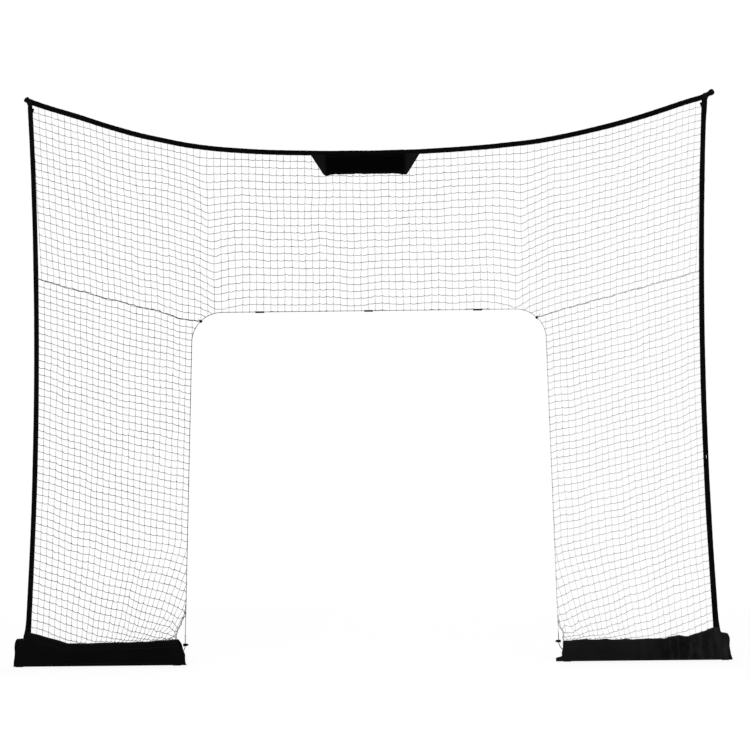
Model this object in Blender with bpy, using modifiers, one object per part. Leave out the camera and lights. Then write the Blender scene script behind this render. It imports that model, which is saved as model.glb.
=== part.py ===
"""Freestanding backstop net for a goal.

Two bowed poles on folding steel bases carry a knotted net with an opening.
Metres, +Z up. X runs across the net, Y runs back, and the face of the net looks towards -Y.
The net is symmetric about X = 0. The net, its poles and sockets are laid out upright in the plane Y = 0,
and one parent empty leans them back together.
"""

import math

import bmesh
import bpy
from mathutils import Matrix, Vector

# Clearances
GAP = 0.0003
TURN_GAP = 0.0005
HOLE_CLEARANCE = 0.0003
CLOTH_GAP = 0.0012
OVERCUT = 0.010

# Overall layout of the net, as half widths and heights in its own plane
LEAN = math.radians(3.55)
POLE_X = 1.785
POLE_BOW = 0.138
POLE_BOW_START = 0.5
POLE_BOW_POWER = 1.9
CORNER_Z = 3.115
TOP_CENTER_Z = 2.790
TOP_SAG_POWER = 2.45

# Opening for the goal, clear size
OPENING_HALF_WIDTH = 0.965
OPENING_HEIGHT = 1.868
OPENING_RADIUS = 0.160
BORDER_CORD_DIAMETER = 0.005
BORDER_BOTTOM_Z = 0.139
BORDER_STRAIGHT_PIECES = 4
# An odd number, so that the corner strap hinges on a straight piece of the cord
BORDER_ARC_PIECES = 9

# Seam from the corner of the opening out to the pole, which it meets this far above the opening
SEAM_RISE = 0.207
SEAM_CORD_DIAMETER = 0.005

# Net, drawn with wide meshes and thick strands
NET_STRAND = 0.006
NET_THICKNESS = 0.004
UPPER_ROWS = 7
UPPER_STRAIGHT_COLUMNS = 5
UPPER_ARC_COLUMNS = 2
UPPER_SEAM_COLUMNS = 5
SIDE_STRAIGHT_ROWS = 9
NET_SAG = 0.030
CREASE_DEPTH = 0.045
CREASE_WIDTH = 0.16
CREASE_TOP_X = 0.92
CREASE_BOTTOM_X = 0.80

# Bands and panel
BAND_WIDTH = 0.024
BAND_THICKNESS = 0.006
SLEEVE_DIAMETER = 0.022
SLEEVE_WALL = 0.0012
SLEEVE_BOTTOM_Z = 0.150
SLEEVE_RINGS = 13
SLEEVE_SEGMENTS = 12
PANEL_HALF_TOP = 0.305
PANEL_HALF_BOTTOM = 0.240
PANEL_BOTTOM_Z = 2.659
PANEL_THICKNESS = 0.0025
PANEL_CORNER = 0.022

# Poles
POLE_DIAMETER = 0.014
POLE_BOTTOM_Z = 0.046
POLE_JOINTS_Z = (1.070, 2.090)
POLE_POINTS = 6
FERRULE_LENGTH = 0.090
FERRULE_WALL = 0.0015
CORNER_BLOCK = (0.024, 0.018, 0.034)
CORNER_CHAMFER = 0.010
CORNER_BORE_DEPTH = 0.024
TIP_FLANGE_DIAMETER = 0.036
TIP_FLANGE_THICKNESS = 0.015
TIP_FLANGE_ROUNDING = 0.004
TIP_NECK_DIAMETER = 0.017
TIP_REACH = 0.044

# Base on each side
TUBE_Z = 0.026
OUTER_TUBE_DIAMETER = 0.032
INNER_TUBE_DIAMETER = 0.028
TUBE_WALL = 0.0017
OUTER_TUBE_INNER_END = 1.360
INNER_TUBE_ENDS = (0.990, 1.440)
FOOT_LENGTH = 0.040
FOOT_WIDTH = 0.050
FOOT_HEIGHT = 0.046
FOOT_END_WALL = 0.006
FOOT_BEVEL = 0.003
BUTTON_X = 1.400
BUTTON_DIAMETER = 0.008
BUTTON_PROUD = 0.0045
BUTTON_FLANGE = 0.0125
BUTTON_FLANGE_THICKNESS = 0.0015
BUTTON_PLAY = 0.0022
SPRING_WIDTH = 0.010
SPRING_THICKNESS = 0.0009
SPRING_LENGTH = 0.055
SOCKET_DIAMETER = 0.020
SOCKET_TOP_Z = 0.147

# Folding rear leg
LEG_X = 1.700
LEG_PIVOT_Y = 0.045
LEG_DIAMETER = 0.025
LEG_WALL = 0.0015
LEG_TAIL = 0.014
LEG_LENGTH = 0.500
LEG_FOOT_WIDTH = 0.036
LEG_FOOT_HEIGHT = 0.042
BRACKET_WIDTH = 0.036
BRACKET_PLATE = 0.004
BRACKET_EDGE = 0.014
BOLT_DIAMETER = 0.008
BOLT_HEAD_DIAMETER = 0.015
BOLT_HEAD_HEIGHT = 0.0045
BOLT_END = 0.001

# Cloth cover of the base, heights of its ridge from the inner end to the pole
COVER_INNER_X = 0.985
COVER_OUTER_X = 1.842
COVER_RIDGE_Z = (0.135, 0.122, 0.118, 0.116, 0.116, 0.125, 0.172)
COVER_POLE_Z = 0.178
COVER_END_Z = 0.146
COVER_HEM_Z = 0.003
COVER_BACK_Z = 0.056
COVER_FRONT_Y = -0.0268
COVER_BACK_Y = 0.0300
COVER_RIDGE_Y = 0.008
COVER_THICKNESS = 0.0024
COVER_COLUMNS_PER_STATION = 3
COVER_END_COLUMNS = 4
COVER_FOLD_DEPTH = 0.004
COVER_FOLD_PITCH = 0.082
COVER_FOLD_MIDDLE_X = 1.685
COVER_FOLD_REACH = 0.16

# Straps along the top of the opening, which stand back over the crossbar of a goal
TIE_LENGTH = 0.036
TIE_THICKNESS = 0.0035
CORNER_TIE_WIDTH = 0.016
CROSSBAR_TIE_WIDTH = 0.050
CROSSBAR_TIE_X = 0.600

# Cord lock at the foot of the opening
BUNGEE_DIAMETER = 0.004
TOGGLE_Z = 0.100
TOGGLE_DIAMETER = 0.014
TOGGLE_LENGTH = 0.021
TOGGLE_BORE_DEPTH = 0.0065
PLUNGER_DIAMETER = 0.009
PLUNGER_PROUD = 0.006
PLUNGER_SEAT = 0.002

# A side net has one column to each station of the cover's ridge
SIDE_COLUMNS = len(COVER_RIDGE_Z) - 1
SEAM_OUTER_Z = OPENING_HEIGHT + SEAM_RISE

# The outer tube ends in its foot, and the foot stands clear of the pole's socket
OUTER_TUBE_END = POLE_X + SOCKET_DIAMETER / 2 + FOOT_LENGTH - FOOT_END_WALL
SOCKET_WALL = (SOCKET_DIAMETER - POLE_DIAMETER) / 2 - TURN_GAP

# The model's origin is on the floor, halfway between the cover's front and the rear feet
NET_Y = -(COVER_FRONT_Y + LEG_PIVOT_Y + LEG_LENGTH + FOOT_END_WALL) / 2

SIDES = (("left", -1), ("right", 1))
ROUND_SEGMENTS = 16
CORD_SEGMENTS = 8

COLOURS = {
    "twine": ((0.03, 0.03, 0.032), 0.8, 0.0),
    "webbing": ((0.012, 0.012, 0.014), 0.75, 0.0),
    "cloth": ((0.015, 0.015, 0.017), 0.85, 0.0),
    "steel": ((0.02, 0.02, 0.022), 0.4, 0.6),
    "zinc": ((0.6, 0.6, 0.62), 0.35, 1.0),
    "fibreglass": ((0.05, 0.05, 0.055), 0.35, 0.0),
    "rubber": ((0.015, 0.015, 0.015), 0.8, 0.0),
    "plastic": ((0.02, 0.02, 0.022), 0.45, 0.0),
}


def clear_scene():
    for thing in list(bpy.data.objects):
        bpy.data.objects.remove(thing, do_unlink=True)


def new_collection(name):
    collection = bpy.data.collections.new(name)
    bpy.context.scene.collection.children.link(collection)
    return collection


def new_empty(name, location, rotation=(0, 0, 0), parent=None):
    empty = bpy.data.objects.new(name, None)
    empty.location = location
    empty.rotation_euler = rotation
    empty.parent = parent
    PARTS.objects.link(empty)
    return empty


def give_material(obj, finish):
    colour, roughness, metallic = COLOURS[finish]
    material = bpy.data.materials.new(obj.name)
    material.use_nodes = True
    shader = material.node_tree.nodes["Principled BSDF"]
    shader.inputs["Base Color"].default_value = (*colour, 1.0)
    shader.inputs["Roughness"].default_value = roughness
    shader.inputs["Metallic"].default_value = metallic
    obj.data.materials.clear()
    obj.data.materials.append(material)


def add_object(name, data, finish=None, parent=None, collection=None):
    """A new object, carried by the base frame unless another parent is named."""
    obj = bpy.data.objects.new(name, data)
    (collection or PARTS).objects.link(obj)
    obj.parent = parent or BASE
    if finish is not None:
        give_material(obj, finish)
    return obj


def mesh_from_bmesh(name, shape, smooth=True):
    mesh = bpy.data.meshes.new(name)
    shape.to_mesh(mesh)
    shape.free()
    if smooth:
        mesh.shade_smooth()
        mesh.set_sharp_from_angle(angle=math.radians(35))
    return mesh


def turned_to(direction):
    """Rotation that takes +Z to a direction."""
    return Vector((0, 0, 1)).rotation_difference(Vector(direction)).to_matrix().to_4x4()


def cylinder_mesh(name, start, end, diameter, segments=ROUND_SEGMENTS, caps=True):
    start = Vector(start)
    end = Vector(end)
    shape = bmesh.new()
    bmesh.ops.create_cone(
        shape,
        cap_ends=caps,
        segments=segments,
        radius1=diameter / 2,
        radius2=diameter / 2,
        depth=(end - start).length,
        matrix=Matrix.Translation((start + end) / 2) @ turned_to(end - start),
    )
    return mesh_from_bmesh(name, shape)


def box_mesh(name, low, high, bevel=0.0):
    low = Vector(low)
    high = Vector(high)
    shape = bmesh.new()
    bmesh.ops.create_cube(
        shape,
        size=1.0,
        matrix=Matrix.Translation((low + high) / 2) @ Matrix.Diagonal((*(high - low), 1.0)),
    )
    if bevel > 0:
        bmesh.ops.bevel(shape, geom=shape.edges[:], offset=bevel, segments=1, affect="EDGES")
    return mesh_from_bmesh(name, shape, smooth=False)


def hollow_tube(name, start, end, diameter, wall, finish, parent=None, segments=ROUND_SEGMENTS):
    """An open cylinder given a wall that grows inwards."""
    tube = add_object(name, cylinder_mesh(name, start, end, diameter, segments, caps=False), finish, parent)
    solidify = tube.modifiers.new("wall", "SOLIDIFY")
    solidify.thickness = wall
    solidify.offset = -1.0
    solidify.use_even_offset = True
    return tube


def cord(name, points, diameter, finish, parent=None, resolution=2):
    """A round cord along a smooth run of points, with filled ends."""
    curve = bpy.data.curves.new(name, "CURVE")
    curve.dimensions = "3D"
    curve.bevel_depth = diameter / 2
    curve.bevel_resolution = resolution
    curve.use_fill_caps = True
    spline = curve.splines.new("POLY")
    spline.points.add(len(points) - 1)
    for point, place in zip(spline.points, points):
        point.co = (*place, 1.0)
    return add_object(name, curve, finish, parent)


def flat_plate(name, outline, thickness, finish, parent=None):
    """A flat outline in X and Z, given half its thickness each way in Y."""
    curve = bpy.data.curves.new(name, "CURVE")
    curve.dimensions = "2D"
    curve.fill_mode = "BOTH"
    curve.extrude = thickness / 2
    spline = curve.splines.new("POLY")
    spline.points.add(len(outline) - 1)
    for point, (x, z) in zip(spline.points, outline):
        point.co = (x, z, 0.0, 1.0)
    spline.use_cyclic_u = True
    plate = add_object(name, curve, finish, parent)
    plate.rotation_euler = (math.radians(90), 0, 0)
    return plate


def as_mesh(obj):
    """Turns a curve object into a mesh object with welded caps, in place."""
    bpy.context.view_layer.update()
    graph = bpy.context.evaluated_depsgraph_get()
    mesh = bpy.data.meshes.new_from_object(obj.evaluated_get(graph))
    shape = bmesh.new()
    shape.from_mesh(mesh)
    bmesh.ops.remove_doubles(shape, verts=shape.verts[:], dist=1e-6)
    shape.to_mesh(mesh)
    shape.free()
    name = obj.name
    parent = obj.parent
    matrix = obj.matrix_world.copy()
    bpy.data.objects.remove(obj, do_unlink=True)
    solid = bpy.data.objects.new(name, mesh)
    PARTS.objects.link(solid)
    solid.parent = parent
    solid.matrix_parent_inverse = parent.matrix_world.inverted()
    solid.matrix_world = matrix
    return solid


def combine(target, mesh, operation, parent=None):
    """Cuts a mesh away from an object, or joins it on, by an exact Boolean."""
    cutter = add_object(target.name + "_" + operation.lower(), mesh, parent=parent, collection=CUTTERS)
    cutter.hide_render = True
    cutter.display_type = "WIRE"
    boolean = target.modifiers.new(operation.lower(), "BOOLEAN")
    boolean.operation = operation
    boolean.solver = "EXACT"
    boolean.object = cutter


# Curves that the net and its edges share


def pole_x(z):
    """Half width of the net at a height, on the axis of the bowed pole."""
    reach = (z - POLE_BOW_START) / (CORNER_Z - POLE_BOW_START)
    return POLE_X + POLE_BOW * max(reach, 0.0) ** POLE_BOW_POWER


CORNER_X = pole_x(CORNER_Z)
BAND_END_X = CORNER_X - CORNER_BLOCK[0] / 2 - GAP
CORD_X = OPENING_HALF_WIDTH + BORDER_CORD_DIAMETER / 2
CORD_TOP_Z = OPENING_HEIGHT + BORDER_CORD_DIAMETER / 2
CORD_RADIUS = OPENING_RADIUS + BORDER_CORD_DIAMETER / 2
ARC_X = CORD_X - CORD_RADIUS
ARC_Z = CORD_TOP_Z - CORD_RADIUS
ARC_STEP = math.radians(45) / UPPER_ARC_COLUMNS


def top_z(x):
    """Height of the middle of the top band."""
    return TOP_CENTER_Z + (CORNER_Z - TOP_CENTER_Z) * (abs(x) / CORNER_X) ** TOP_SAG_POWER


def arc_point(angle, grow=0.0):
    """A point on the rounded upper corner of the opening, at an angle above the horizontal."""
    radius = CORD_RADIUS + grow
    return ARC_X + radius * math.cos(angle), ARC_Z + radius * math.sin(angle)


SEAM_INNER_X, SEAM_INNER_Z = arc_point(math.radians(45))
SEAM_OUTER_X = pole_x(SEAM_OUTER_Z) - SLEEVE_DIAMETER / 2
SEAM_SLOPE = (SEAM_OUTER_Z - SEAM_INNER_Z) / (SEAM_OUTER_X - SEAM_INNER_X)
SEAM_OFFSET = (SEAM_CORD_DIAMETER / 2 + GAP) * math.hypot(1.0, SEAM_SLOPE)
EDGE_GROW = BORDER_CORD_DIAMETER / 2 + GAP
ARC_GROW = CORD_RADIUS * (1 / math.cos(ARC_STEP / 2) - 1) + EDGE_GROW


def seam_z(x):
    return SEAM_INNER_Z + SEAM_SLOPE * (abs(x) - SEAM_INNER_X)


def net_corner(offset):
    """Where a net's edge beside the seam meets its edge round the opening; the offset is up from the seam."""
    radius = CORD_RADIUS + ARC_GROW
    x = SEAM_INNER_X
    for _ in range(12):
        x = ARC_X + math.sqrt(radius**2 - (seam_z(x) + offset - ARC_Z) ** 2)
    return x, seam_z(x) + offset


def cover_stations():
    """The stations along the foot of a side net, which its columns and the cover's ridge share."""
    outer = net_side_x(COVER_RIDGE_Z[-1])
    steps = len(COVER_RIDGE_Z) - 1
    return [COVER_INNER_X + (outer - COVER_INNER_X) * i / steps for i in range(steps + 1)]


def net_side_x(z):
    """Outer edge of the net, just inside the pole's sleeve."""
    return pole_x(z) - SLEEVE_DIAMETER / 2 - GAP


# Net panels


def ease(share, start, end):
    return start + (end - start) * share


def crease_shift(x, z):
    """How far the slack meshes are drawn down along the crease above each corner of the opening."""
    height = (z - OPENING_HEIGHT) / (TOP_CENTER_Z - OPENING_HEIGHT)
    middle = ease(height, CREASE_BOTTOM_X, CREASE_TOP_X)
    return CREASE_DEPTH * math.exp(-(((abs(x) - middle) / CREASE_WIDTH) ** 2))


def upper_bottom_half():
    """Stations along the lower edge of the upper net, from the middle to the sleeve."""
    lower_z = CORD_TOP_Z + EDGE_GROW
    straight = [(ARC_X * i / UPPER_STRAIGHT_COLUMNS, lower_z) for i in range(UPPER_STRAIGHT_COLUMNS)]
    arc = [arc_point(math.radians(90) - ARC_STEP * i, ARC_GROW) for i in range(UPPER_ARC_COLUMNS + 1)]
    arc[-1] = net_corner(SEAM_OFFSET)
    corner_x = arc[-1][0]
    outer_x = net_side_x(SEAM_OUTER_Z)
    seam = []
    for i in range(1, UPPER_SEAM_COLUMNS + 1):
        x = ease(i / UPPER_SEAM_COLUMNS, corner_x, outer_x)
        seam.append((x, seam_z(x) + SEAM_OFFSET))
    return straight + arc + seam


def upper_net_grid():
    """Rows of points for the upper net, from its lower edge to just under the top band."""
    half = upper_bottom_half()
    bottom = [(-x, z) for x, z in reversed(half[1:])] + half
    count = len(bottom) - 1
    top_reach = BAND_END_X
    rows = []
    for j in range(UPPER_ROWS + 1):
        t = j / UPPER_ROWS
        row = []
        for i, (bottom_x, bottom_z) in enumerate(bottom):
            top_x = ease(i / count, -top_reach, top_reach)
            upper_z = top_z(top_x) - BAND_WIDTH / 2 - GAP
            z = ease(t, bottom_z, upper_z)
            x = ease(t, bottom_x, top_x)
            if 0 < i < count and 0 < j < UPPER_ROWS:
                z -= crease_shift(x, z) * math.sin(math.pi * t)
            if i in (0, count):
                x = math.copysign(net_side_x(z), x)
            row.append((x, z))
        rows.append(row)
    return rows


def side_net_grid(side):
    """Rows of points for a side net, from the cover's ridge to the seam."""
    stations = cover_stations()
    rise = max(COVER_RIDGE_Z[-1] - COVER_RIDGE_Z[-2], 0.0) / (stations[-1] - stations[-2])
    lift = COVER_THICKNESS / 2 * math.hypot(1.0, rise) + NET_THICKNESS / 2 * math.sin(LEAN) + CLOTH_GAP
    bottom = [(x, (z + lift) / math.cos(LEAN)) for x, z in zip(stations, COVER_RIDGE_Z)]
    bottom[0] = (CORD_X + EDGE_GROW, bottom[0][1])
    low_z = bottom[0][1]
    edge_x = CORD_X + EDGE_GROW
    inner = [(edge_x, ease(j / SIDE_STRAIGHT_ROWS, low_z, ARC_Z)) for j in range(SIDE_STRAIGHT_ROWS)]
    inner += [arc_point(ARC_STEP * j, ARC_GROW) for j in range(UPPER_ARC_COLUMNS + 1)]
    inner[-1] = net_corner(-SEAM_OFFSET)
    corner_x = inner[-1][0]
    rows = len(inner) - 1
    outer_low = bottom[-1][1]
    outer_high = SEAM_OUTER_Z - SEAM_OFFSET
    top_outer_x = net_side_x(outer_high)
    grid = []
    for j, (inner_x, inner_z) in enumerate(inner):
        t = j / rows
        outer_z = ease(t, outer_low, outer_high)
        outer_x = net_side_x(outer_z)
        row = []
        for i in range(SIDE_COLUMNS + 1):
            s = i / SIDE_COLUMNS
            x = ease(s, inner_x, outer_x)
            z = ease(s, inner_z, outer_z)
            if j == 0:
                x, z = bottom[i]
            elif j == rows:
                x = ease(s, corner_x, top_outer_x)
                z = seam_z(x) - SEAM_OFFSET
            elif 0 < i < SIDE_COLUMNS:
                dip = bottom[i][1] - ease(s, bottom[0][1], bottom[-1][1])
                z += dip * (1 - t) - NET_SAG * math.sin(math.pi * s) * math.sin(math.pi * t)
            row.append((side * x, z))
        grid.append(row)
    return grid


def net_panel(name, grid):
    """A lattice of strands: each mesh of the grid is inset by half a strand and opened."""
    shape = bmesh.new()
    verts = [[shape.verts.new((x, 0.0, z)) for x, z in row] for row in grid]
    for low, high in zip(verts, verts[1:]):
        for a, b, c, d in zip(low, low[1:], high[1:], high):
            shape.faces.new((a, b, c, d))
    cells = shape.faces[:]
    bmesh.ops.recalc_face_normals(shape, faces=cells)
    bmesh.ops.inset_individual(shape, faces=cells, thickness=NET_STRAND / 2, use_even_offset=True)
    bmesh.ops.delete(shape, geom=cells, context="FACES_ONLY")
    net = add_object(name, mesh_from_bmesh(name, shape, smooth=False), "twine", LEANING)
    solidify = net.modifiers.new("strand", "SOLIDIFY")
    solidify.thickness = NET_THICKNESS
    solidify.offset = 0.0
    return len(cells)


def make_nets():
    gaps = net_panel("upper_net", upper_net_grid())
    for word, side in SIDES:
        gaps += net_panel(word + "_side_net", side_net_grid(side))
    print("net gaps:", gaps)


# Cords along the edges of the net


def make_border_cord():
    """The cord round the opening, up one side, across and down the other."""
    straight = BORDER_STRAIGHT_PIECES
    half = [(CORD_X, ease(i / straight, BORDER_BOTTOM_Z, ARC_Z)) for i in range(straight)]
    half += [arc_point(math.radians(90) * i / BORDER_ARC_PIECES) for i in range(BORDER_ARC_PIECES + 1)]
    half += [(ARC_X / 2, CORD_TOP_Z)]
    points = half + [(-x, z) for x, z in reversed(half)]
    cord("opening_border_cord", [(x, 0.0, z) for x, z in points], BORDER_CORD_DIAMETER, "twine", LEANING)


def make_seam_lacing(word, side):
    start = SEAM_INNER_X + BORDER_CORD_DIAMETER / 2 + SEAM_CORD_DIAMETER / 2 * SEAM_SLOPE + GAP
    end = SEAM_OUTER_X - SEAM_CORD_DIAMETER / 2 * SEAM_SLOPE - GAP
    points = [(side * x, 0.0, seam_z(x)) for x in (start, (start + end) / 2, end)]
    cord(word + "_seam_lacing", points, SEAM_CORD_DIAMETER, "twine", LEANING)


# Bands, sleeves and panel


def band_stations():
    """Stations along the top band, over the columns of the upper net."""
    columns = 2 * (UPPER_STRAIGHT_COLUMNS + UPPER_ARC_COLUMNS + UPPER_SEAM_COLUMNS)
    return [ease(i / columns, -BAND_END_X, BAND_END_X) for i in range(columns + 1)]


def band_middle(x):
    """Height of the band's middle on the straight run between two stations."""
    stations = band_stations()
    for low, high in zip(stations, stations[1:]):
        if low <= x <= high:
            return ease((x - low) / (high - low), top_z(low), top_z(high))
    return top_z(x)


def make_top_band():
    """Webbing along the top edge."""
    shape = bmesh.new()
    rows = []
    for x in band_stations():
        middle = top_z(x)
        rows.append([shape.verts.new((x, 0.0, middle + BAND_WIDTH * k / 2)) for k in (-1, 1)])
    for (a, b), (c, d) in zip(rows, rows[1:]):
        shape.faces.new((a, c, d, b))
    band = add_object("top_band", mesh_from_bmesh("top_band", shape), "webbing", LEANING)
    solidify = band.modifiers.new("thickness", "SOLIDIFY")
    solidify.thickness = BAND_THICKNESS
    solidify.offset = 0.0


def make_center_panel():
    """The trapezoid of plain cloth under the middle of the top band, in front of the net."""
    between = [x for x in band_stations() if abs(x) < PANEL_HALF_TOP - GAP]
    upper = [(x, band_middle(x) - BAND_WIDTH / 2 - GAP) for x in (-PANEL_HALF_TOP, *between, PANEL_HALF_TOP)]
    slope = (PANEL_HALF_TOP - PANEL_HALF_BOTTOM) / (upper[0][1] - PANEL_BOTTOM_Z)
    low = [(PANEL_HALF_BOTTOM + PANEL_CORNER * slope, PANEL_BOTTOM_Z + PANEL_CORNER)]
    low += [(PANEL_HALF_BOTTOM - PANEL_CORNER * 0.2, PANEL_BOTTOM_Z + PANEL_CORNER * 0.25)]
    low += [(PANEL_HALF_BOTTOM - PANEL_CORNER, PANEL_BOTTOM_Z)]
    outline = upper + low + [(-x, z) for x, z in reversed(low)]
    panel = flat_plate("center_panel", outline, PANEL_THICKNESS, "cloth", LEANING)
    panel.location = (0, -(NET_THICKNESS / 2 + GAP + PANEL_THICKNESS / 2), 0)


def spaced(low, high, count):
    return [ease(i / (count - 1), low, high) for i in range(count)]


def make_sleeve(word, side):
    """The cloth tube round a pole, open at both ends."""
    top = CORNER_Z - CORNER_BLOCK[2] / 2 - GAP
    shape = bmesh.new()
    rings = []
    for z in spaced(SLEEVE_BOTTOM_Z, top, SLEEVE_RINGS):
        ring = []
        for k in range(SLEEVE_SEGMENTS):
            angle = 2 * math.pi * k / SLEEVE_SEGMENTS
            x = pole_x(z) + SLEEVE_DIAMETER / 2 * math.cos(angle)
            ring.append(shape.verts.new((side * x, SLEEVE_DIAMETER / 2 * math.sin(angle), z)))
        rings.append(ring)
    for low, high in zip(rings, rings[1:]):
        for k in range(SLEEVE_SEGMENTS):
            after = (k + 1) % SLEEVE_SEGMENTS
            shape.faces.new((low[k], low[after], high[after], high[k]))
    bmesh.ops.recalc_face_normals(shape, faces=shape.faces[:])
    name = word + "_side_sleeve"
    sleeve = add_object(name, mesh_from_bmesh(name, shape), "webbing", LEANING)
    solidify = sleeve.modifiers.new("wall", "SOLIDIFY")
    solidify.thickness = SLEEVE_WALL
    solidify.offset = -1.0


# Poles


def make_pole(word, side):
    top = CORNER_Z - CORNER_BLOCK[2] / 2 + CORNER_BORE_DEPTH - GAP
    cuts = [POLE_BOTTOM_Z, *POLE_JOINTS_Z, top]
    for label, low, high in zip(("lower", "middle", "upper"), cuts, cuts[1:]):
        start = low + (GAP if label != "lower" else 0.0)
        points = [(side * pole_x(z), 0.0, z) for z in spaced(start, high, POLE_POINTS)]
        cord(word + "_pole_" + label, points, POLE_DIAMETER, "fibreglass", LEANING)
    for label, z in zip(("lower", "upper"), POLE_JOINTS_Z):
        ends = [(side * pole_x(z + k * FERRULE_LENGTH / 2), 0.0, z + k * FERRULE_LENGTH / 2) for k in (-1, 1)]
        outside = POLE_DIAMETER + 2 * (TURN_GAP + FERRULE_WALL)
        hollow_tube(word + "_ferrule_" + label, *ends, outside, FERRULE_WALL, "zinc", LEANING)


def make_corner(word, side):
    """The moulded block that takes the pole's tip, and the knob that stands out of its chamfer."""
    width, depth, height = CORNER_BLOCK
    low_x = CORNER_X - width / 2
    high_x = CORNER_X + width / 2
    low_z = CORNER_Z - height / 2
    high_z = CORNER_Z + height / 2
    outline = [
        (low_x, low_z),
        (high_x, low_z),
        (high_x, high_z - CORNER_CHAMFER),
        (high_x - CORNER_CHAMFER, high_z),
        (low_x, high_z),
    ]
    outline = [(side * x, z) for x, z in outline]
    block = as_mesh(flat_plate(word + "_corner_fitting", outline, depth, "plastic", LEANING))
    give_material(block, "plastic")
    bore_low = low_z - OVERCUT
    bore_high = low_z + CORNER_BORE_DEPTH
    bore = cylinder_mesh(
        "bore",
        (side * pole_x(bore_low), 0, bore_low),
        (side * pole_x(bore_high), 0, bore_high),
        POLE_DIAMETER + 2 * TURN_GAP,
    )
    combine(block, bore, "DIFFERENCE", LEANING)
    chamfer_x = high_x - CORNER_CHAMFER / 2
    chamfer_z = high_z - CORNER_CHAMFER / 2
    make_tip_knob(word + "_tip_knob", side, chamfer_x, chamfer_z)


def make_tip_knob(name, side, seat_x, seat_z):
    """A turned neck and rounded flange on the axis of the chamfer."""
    radius = TIP_FLANGE_DIAMETER / 2
    neck_radius = TIP_NECK_DIAMETER / 2
    low = TIP_REACH - TIP_FLANGE_THICKNESS
    rounding = TIP_FLANGE_ROUNDING
    profile = [
        (0.0, TIP_REACH),
        (radius - rounding, TIP_REACH),
        (radius - rounding * 0.3, TIP_REACH - rounding * 0.3),
        (radius, TIP_REACH - rounding),
        (radius, low + rounding),
        (radius - rounding * 0.3, low + rounding * 0.3),
        (radius - rounding, low),
        (neck_radius, low - rounding),
        (neck_radius, 0.0),
        (0.0, 0.0),
    ]
    shape = bmesh.new()
    verts = [shape.verts.new((x, 0.0, z)) for x, z in profile]
    for a, b in zip(verts, verts[1:]):
        shape.edges.new((a, b))
    mesh = mesh_from_bmesh(name, shape, smooth=False)
    knob = add_object(name, mesh, "rubber", LEANING)
    knob.location = (side * (seat_x + GAP * math.sqrt(0.5)), 0.0, seat_z + GAP * math.sqrt(0.5))
    knob.rotation_euler = (0.0, side * math.radians(45), 0.0)
    screw = knob.modifiers.new("turn", "SCREW")
    screw.steps = ROUND_SEGMENTS
    screw.render_steps = ROUND_SEGMENTS
    screw.use_merge_vertices = True
    screw.merge_threshold = 0.00001


# Base tubes, feet and sockets


def make_base_tubes(word, side):
    outer = hollow_tube(
        word + "_outer_base_tube",
        (side * OUTER_TUBE_INNER_END, 0, TUBE_Z),
        (side * OUTER_TUBE_END, 0, TUBE_Z),
        OUTER_TUBE_DIAMETER,
        TUBE_WALL,
        "steel",
    )
    inner = hollow_tube(
        word + "_inner_base_tube",
        (side * INNER_TUBE_ENDS[0], 0, TUBE_Z),
        (side * INNER_TUBE_ENDS[1], 0, TUBE_Z),
        INNER_TUBE_DIAMETER,
        TUBE_WALL,
        "steel",
    )
    hole = BUTTON_DIAMETER + 2 * HOLE_CLEARANCE
    top = TUBE_Z + OUTER_TUBE_DIAMETER / 2
    for tube in (outer, inner):
        place = (side * BUTTON_X, 0)
        drill = cylinder_mesh("drill", (*place, TUBE_Z), (*place, top + OVERCUT), hole)
        combine(tube, drill, "DIFFERENCE")


def make_snap_button(word, side):
    """The button that locks the two base tubes, and the leaf spring under its flange in the inner tube."""
    inner_radius = INNER_TUBE_DIAMETER / 2 - TUBE_WALL
    crown_z = TUBE_Z + OUTER_TUBE_DIAMETER / 2 + BUTTON_PROUD
    flange_top_z = TUBE_Z + inner_radius - BUTTON_PLAY
    flange_low_z = flange_top_z - BUTTON_FLANGE_THICKNESS
    place = (side * BUTTON_X, 0)
    name = word + "_snap_button"
    stem_low_z = flange_top_z - BUTTON_FLANGE_THICKNESS / 2
    stem = cylinder_mesh(name, (*place, stem_low_z), (*place, crown_z), BUTTON_DIAMETER)
    button = add_object(name, stem, "zinc")
    flange = cylinder_mesh("flange", (*place, flange_low_z), (*place, flange_top_z), BUTTON_FLANGE)
    combine(button, flange, "UNION")
    spring_low = TUBE_Z - math.sqrt(inner_radius**2 - (SPRING_WIDTH / 2) ** 2) + GAP
    spring_high = flange_low_z - GAP
    near_x = BUTTON_X + BUTTON_FLANGE / 2
    far_x = near_x - SPRING_LENGTH
    middle = (spring_low + spring_high) / 2
    outline = [
        (near_x, spring_high),
        (BUTTON_X - BUTTON_FLANGE / 2, spring_high),
        (far_x, middle + SPRING_THICKNESS),
        (far_x - SPRING_THICKNESS, middle),
        (far_x, middle - SPRING_THICKNESS),
        (near_x, spring_low),
        (near_x, spring_low + SPRING_THICKNESS),
        (far_x + 2 * SPRING_THICKNESS, middle),
        (BUTTON_X - BUTTON_FLANGE / 2, spring_high - SPRING_THICKNESS),
        (near_x, spring_high - SPRING_THICKNESS),
    ]
    flat_plate(word + "_button_spring", [(side * x, z) for x, z in outline], SPRING_WIDTH, "zinc")


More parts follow.
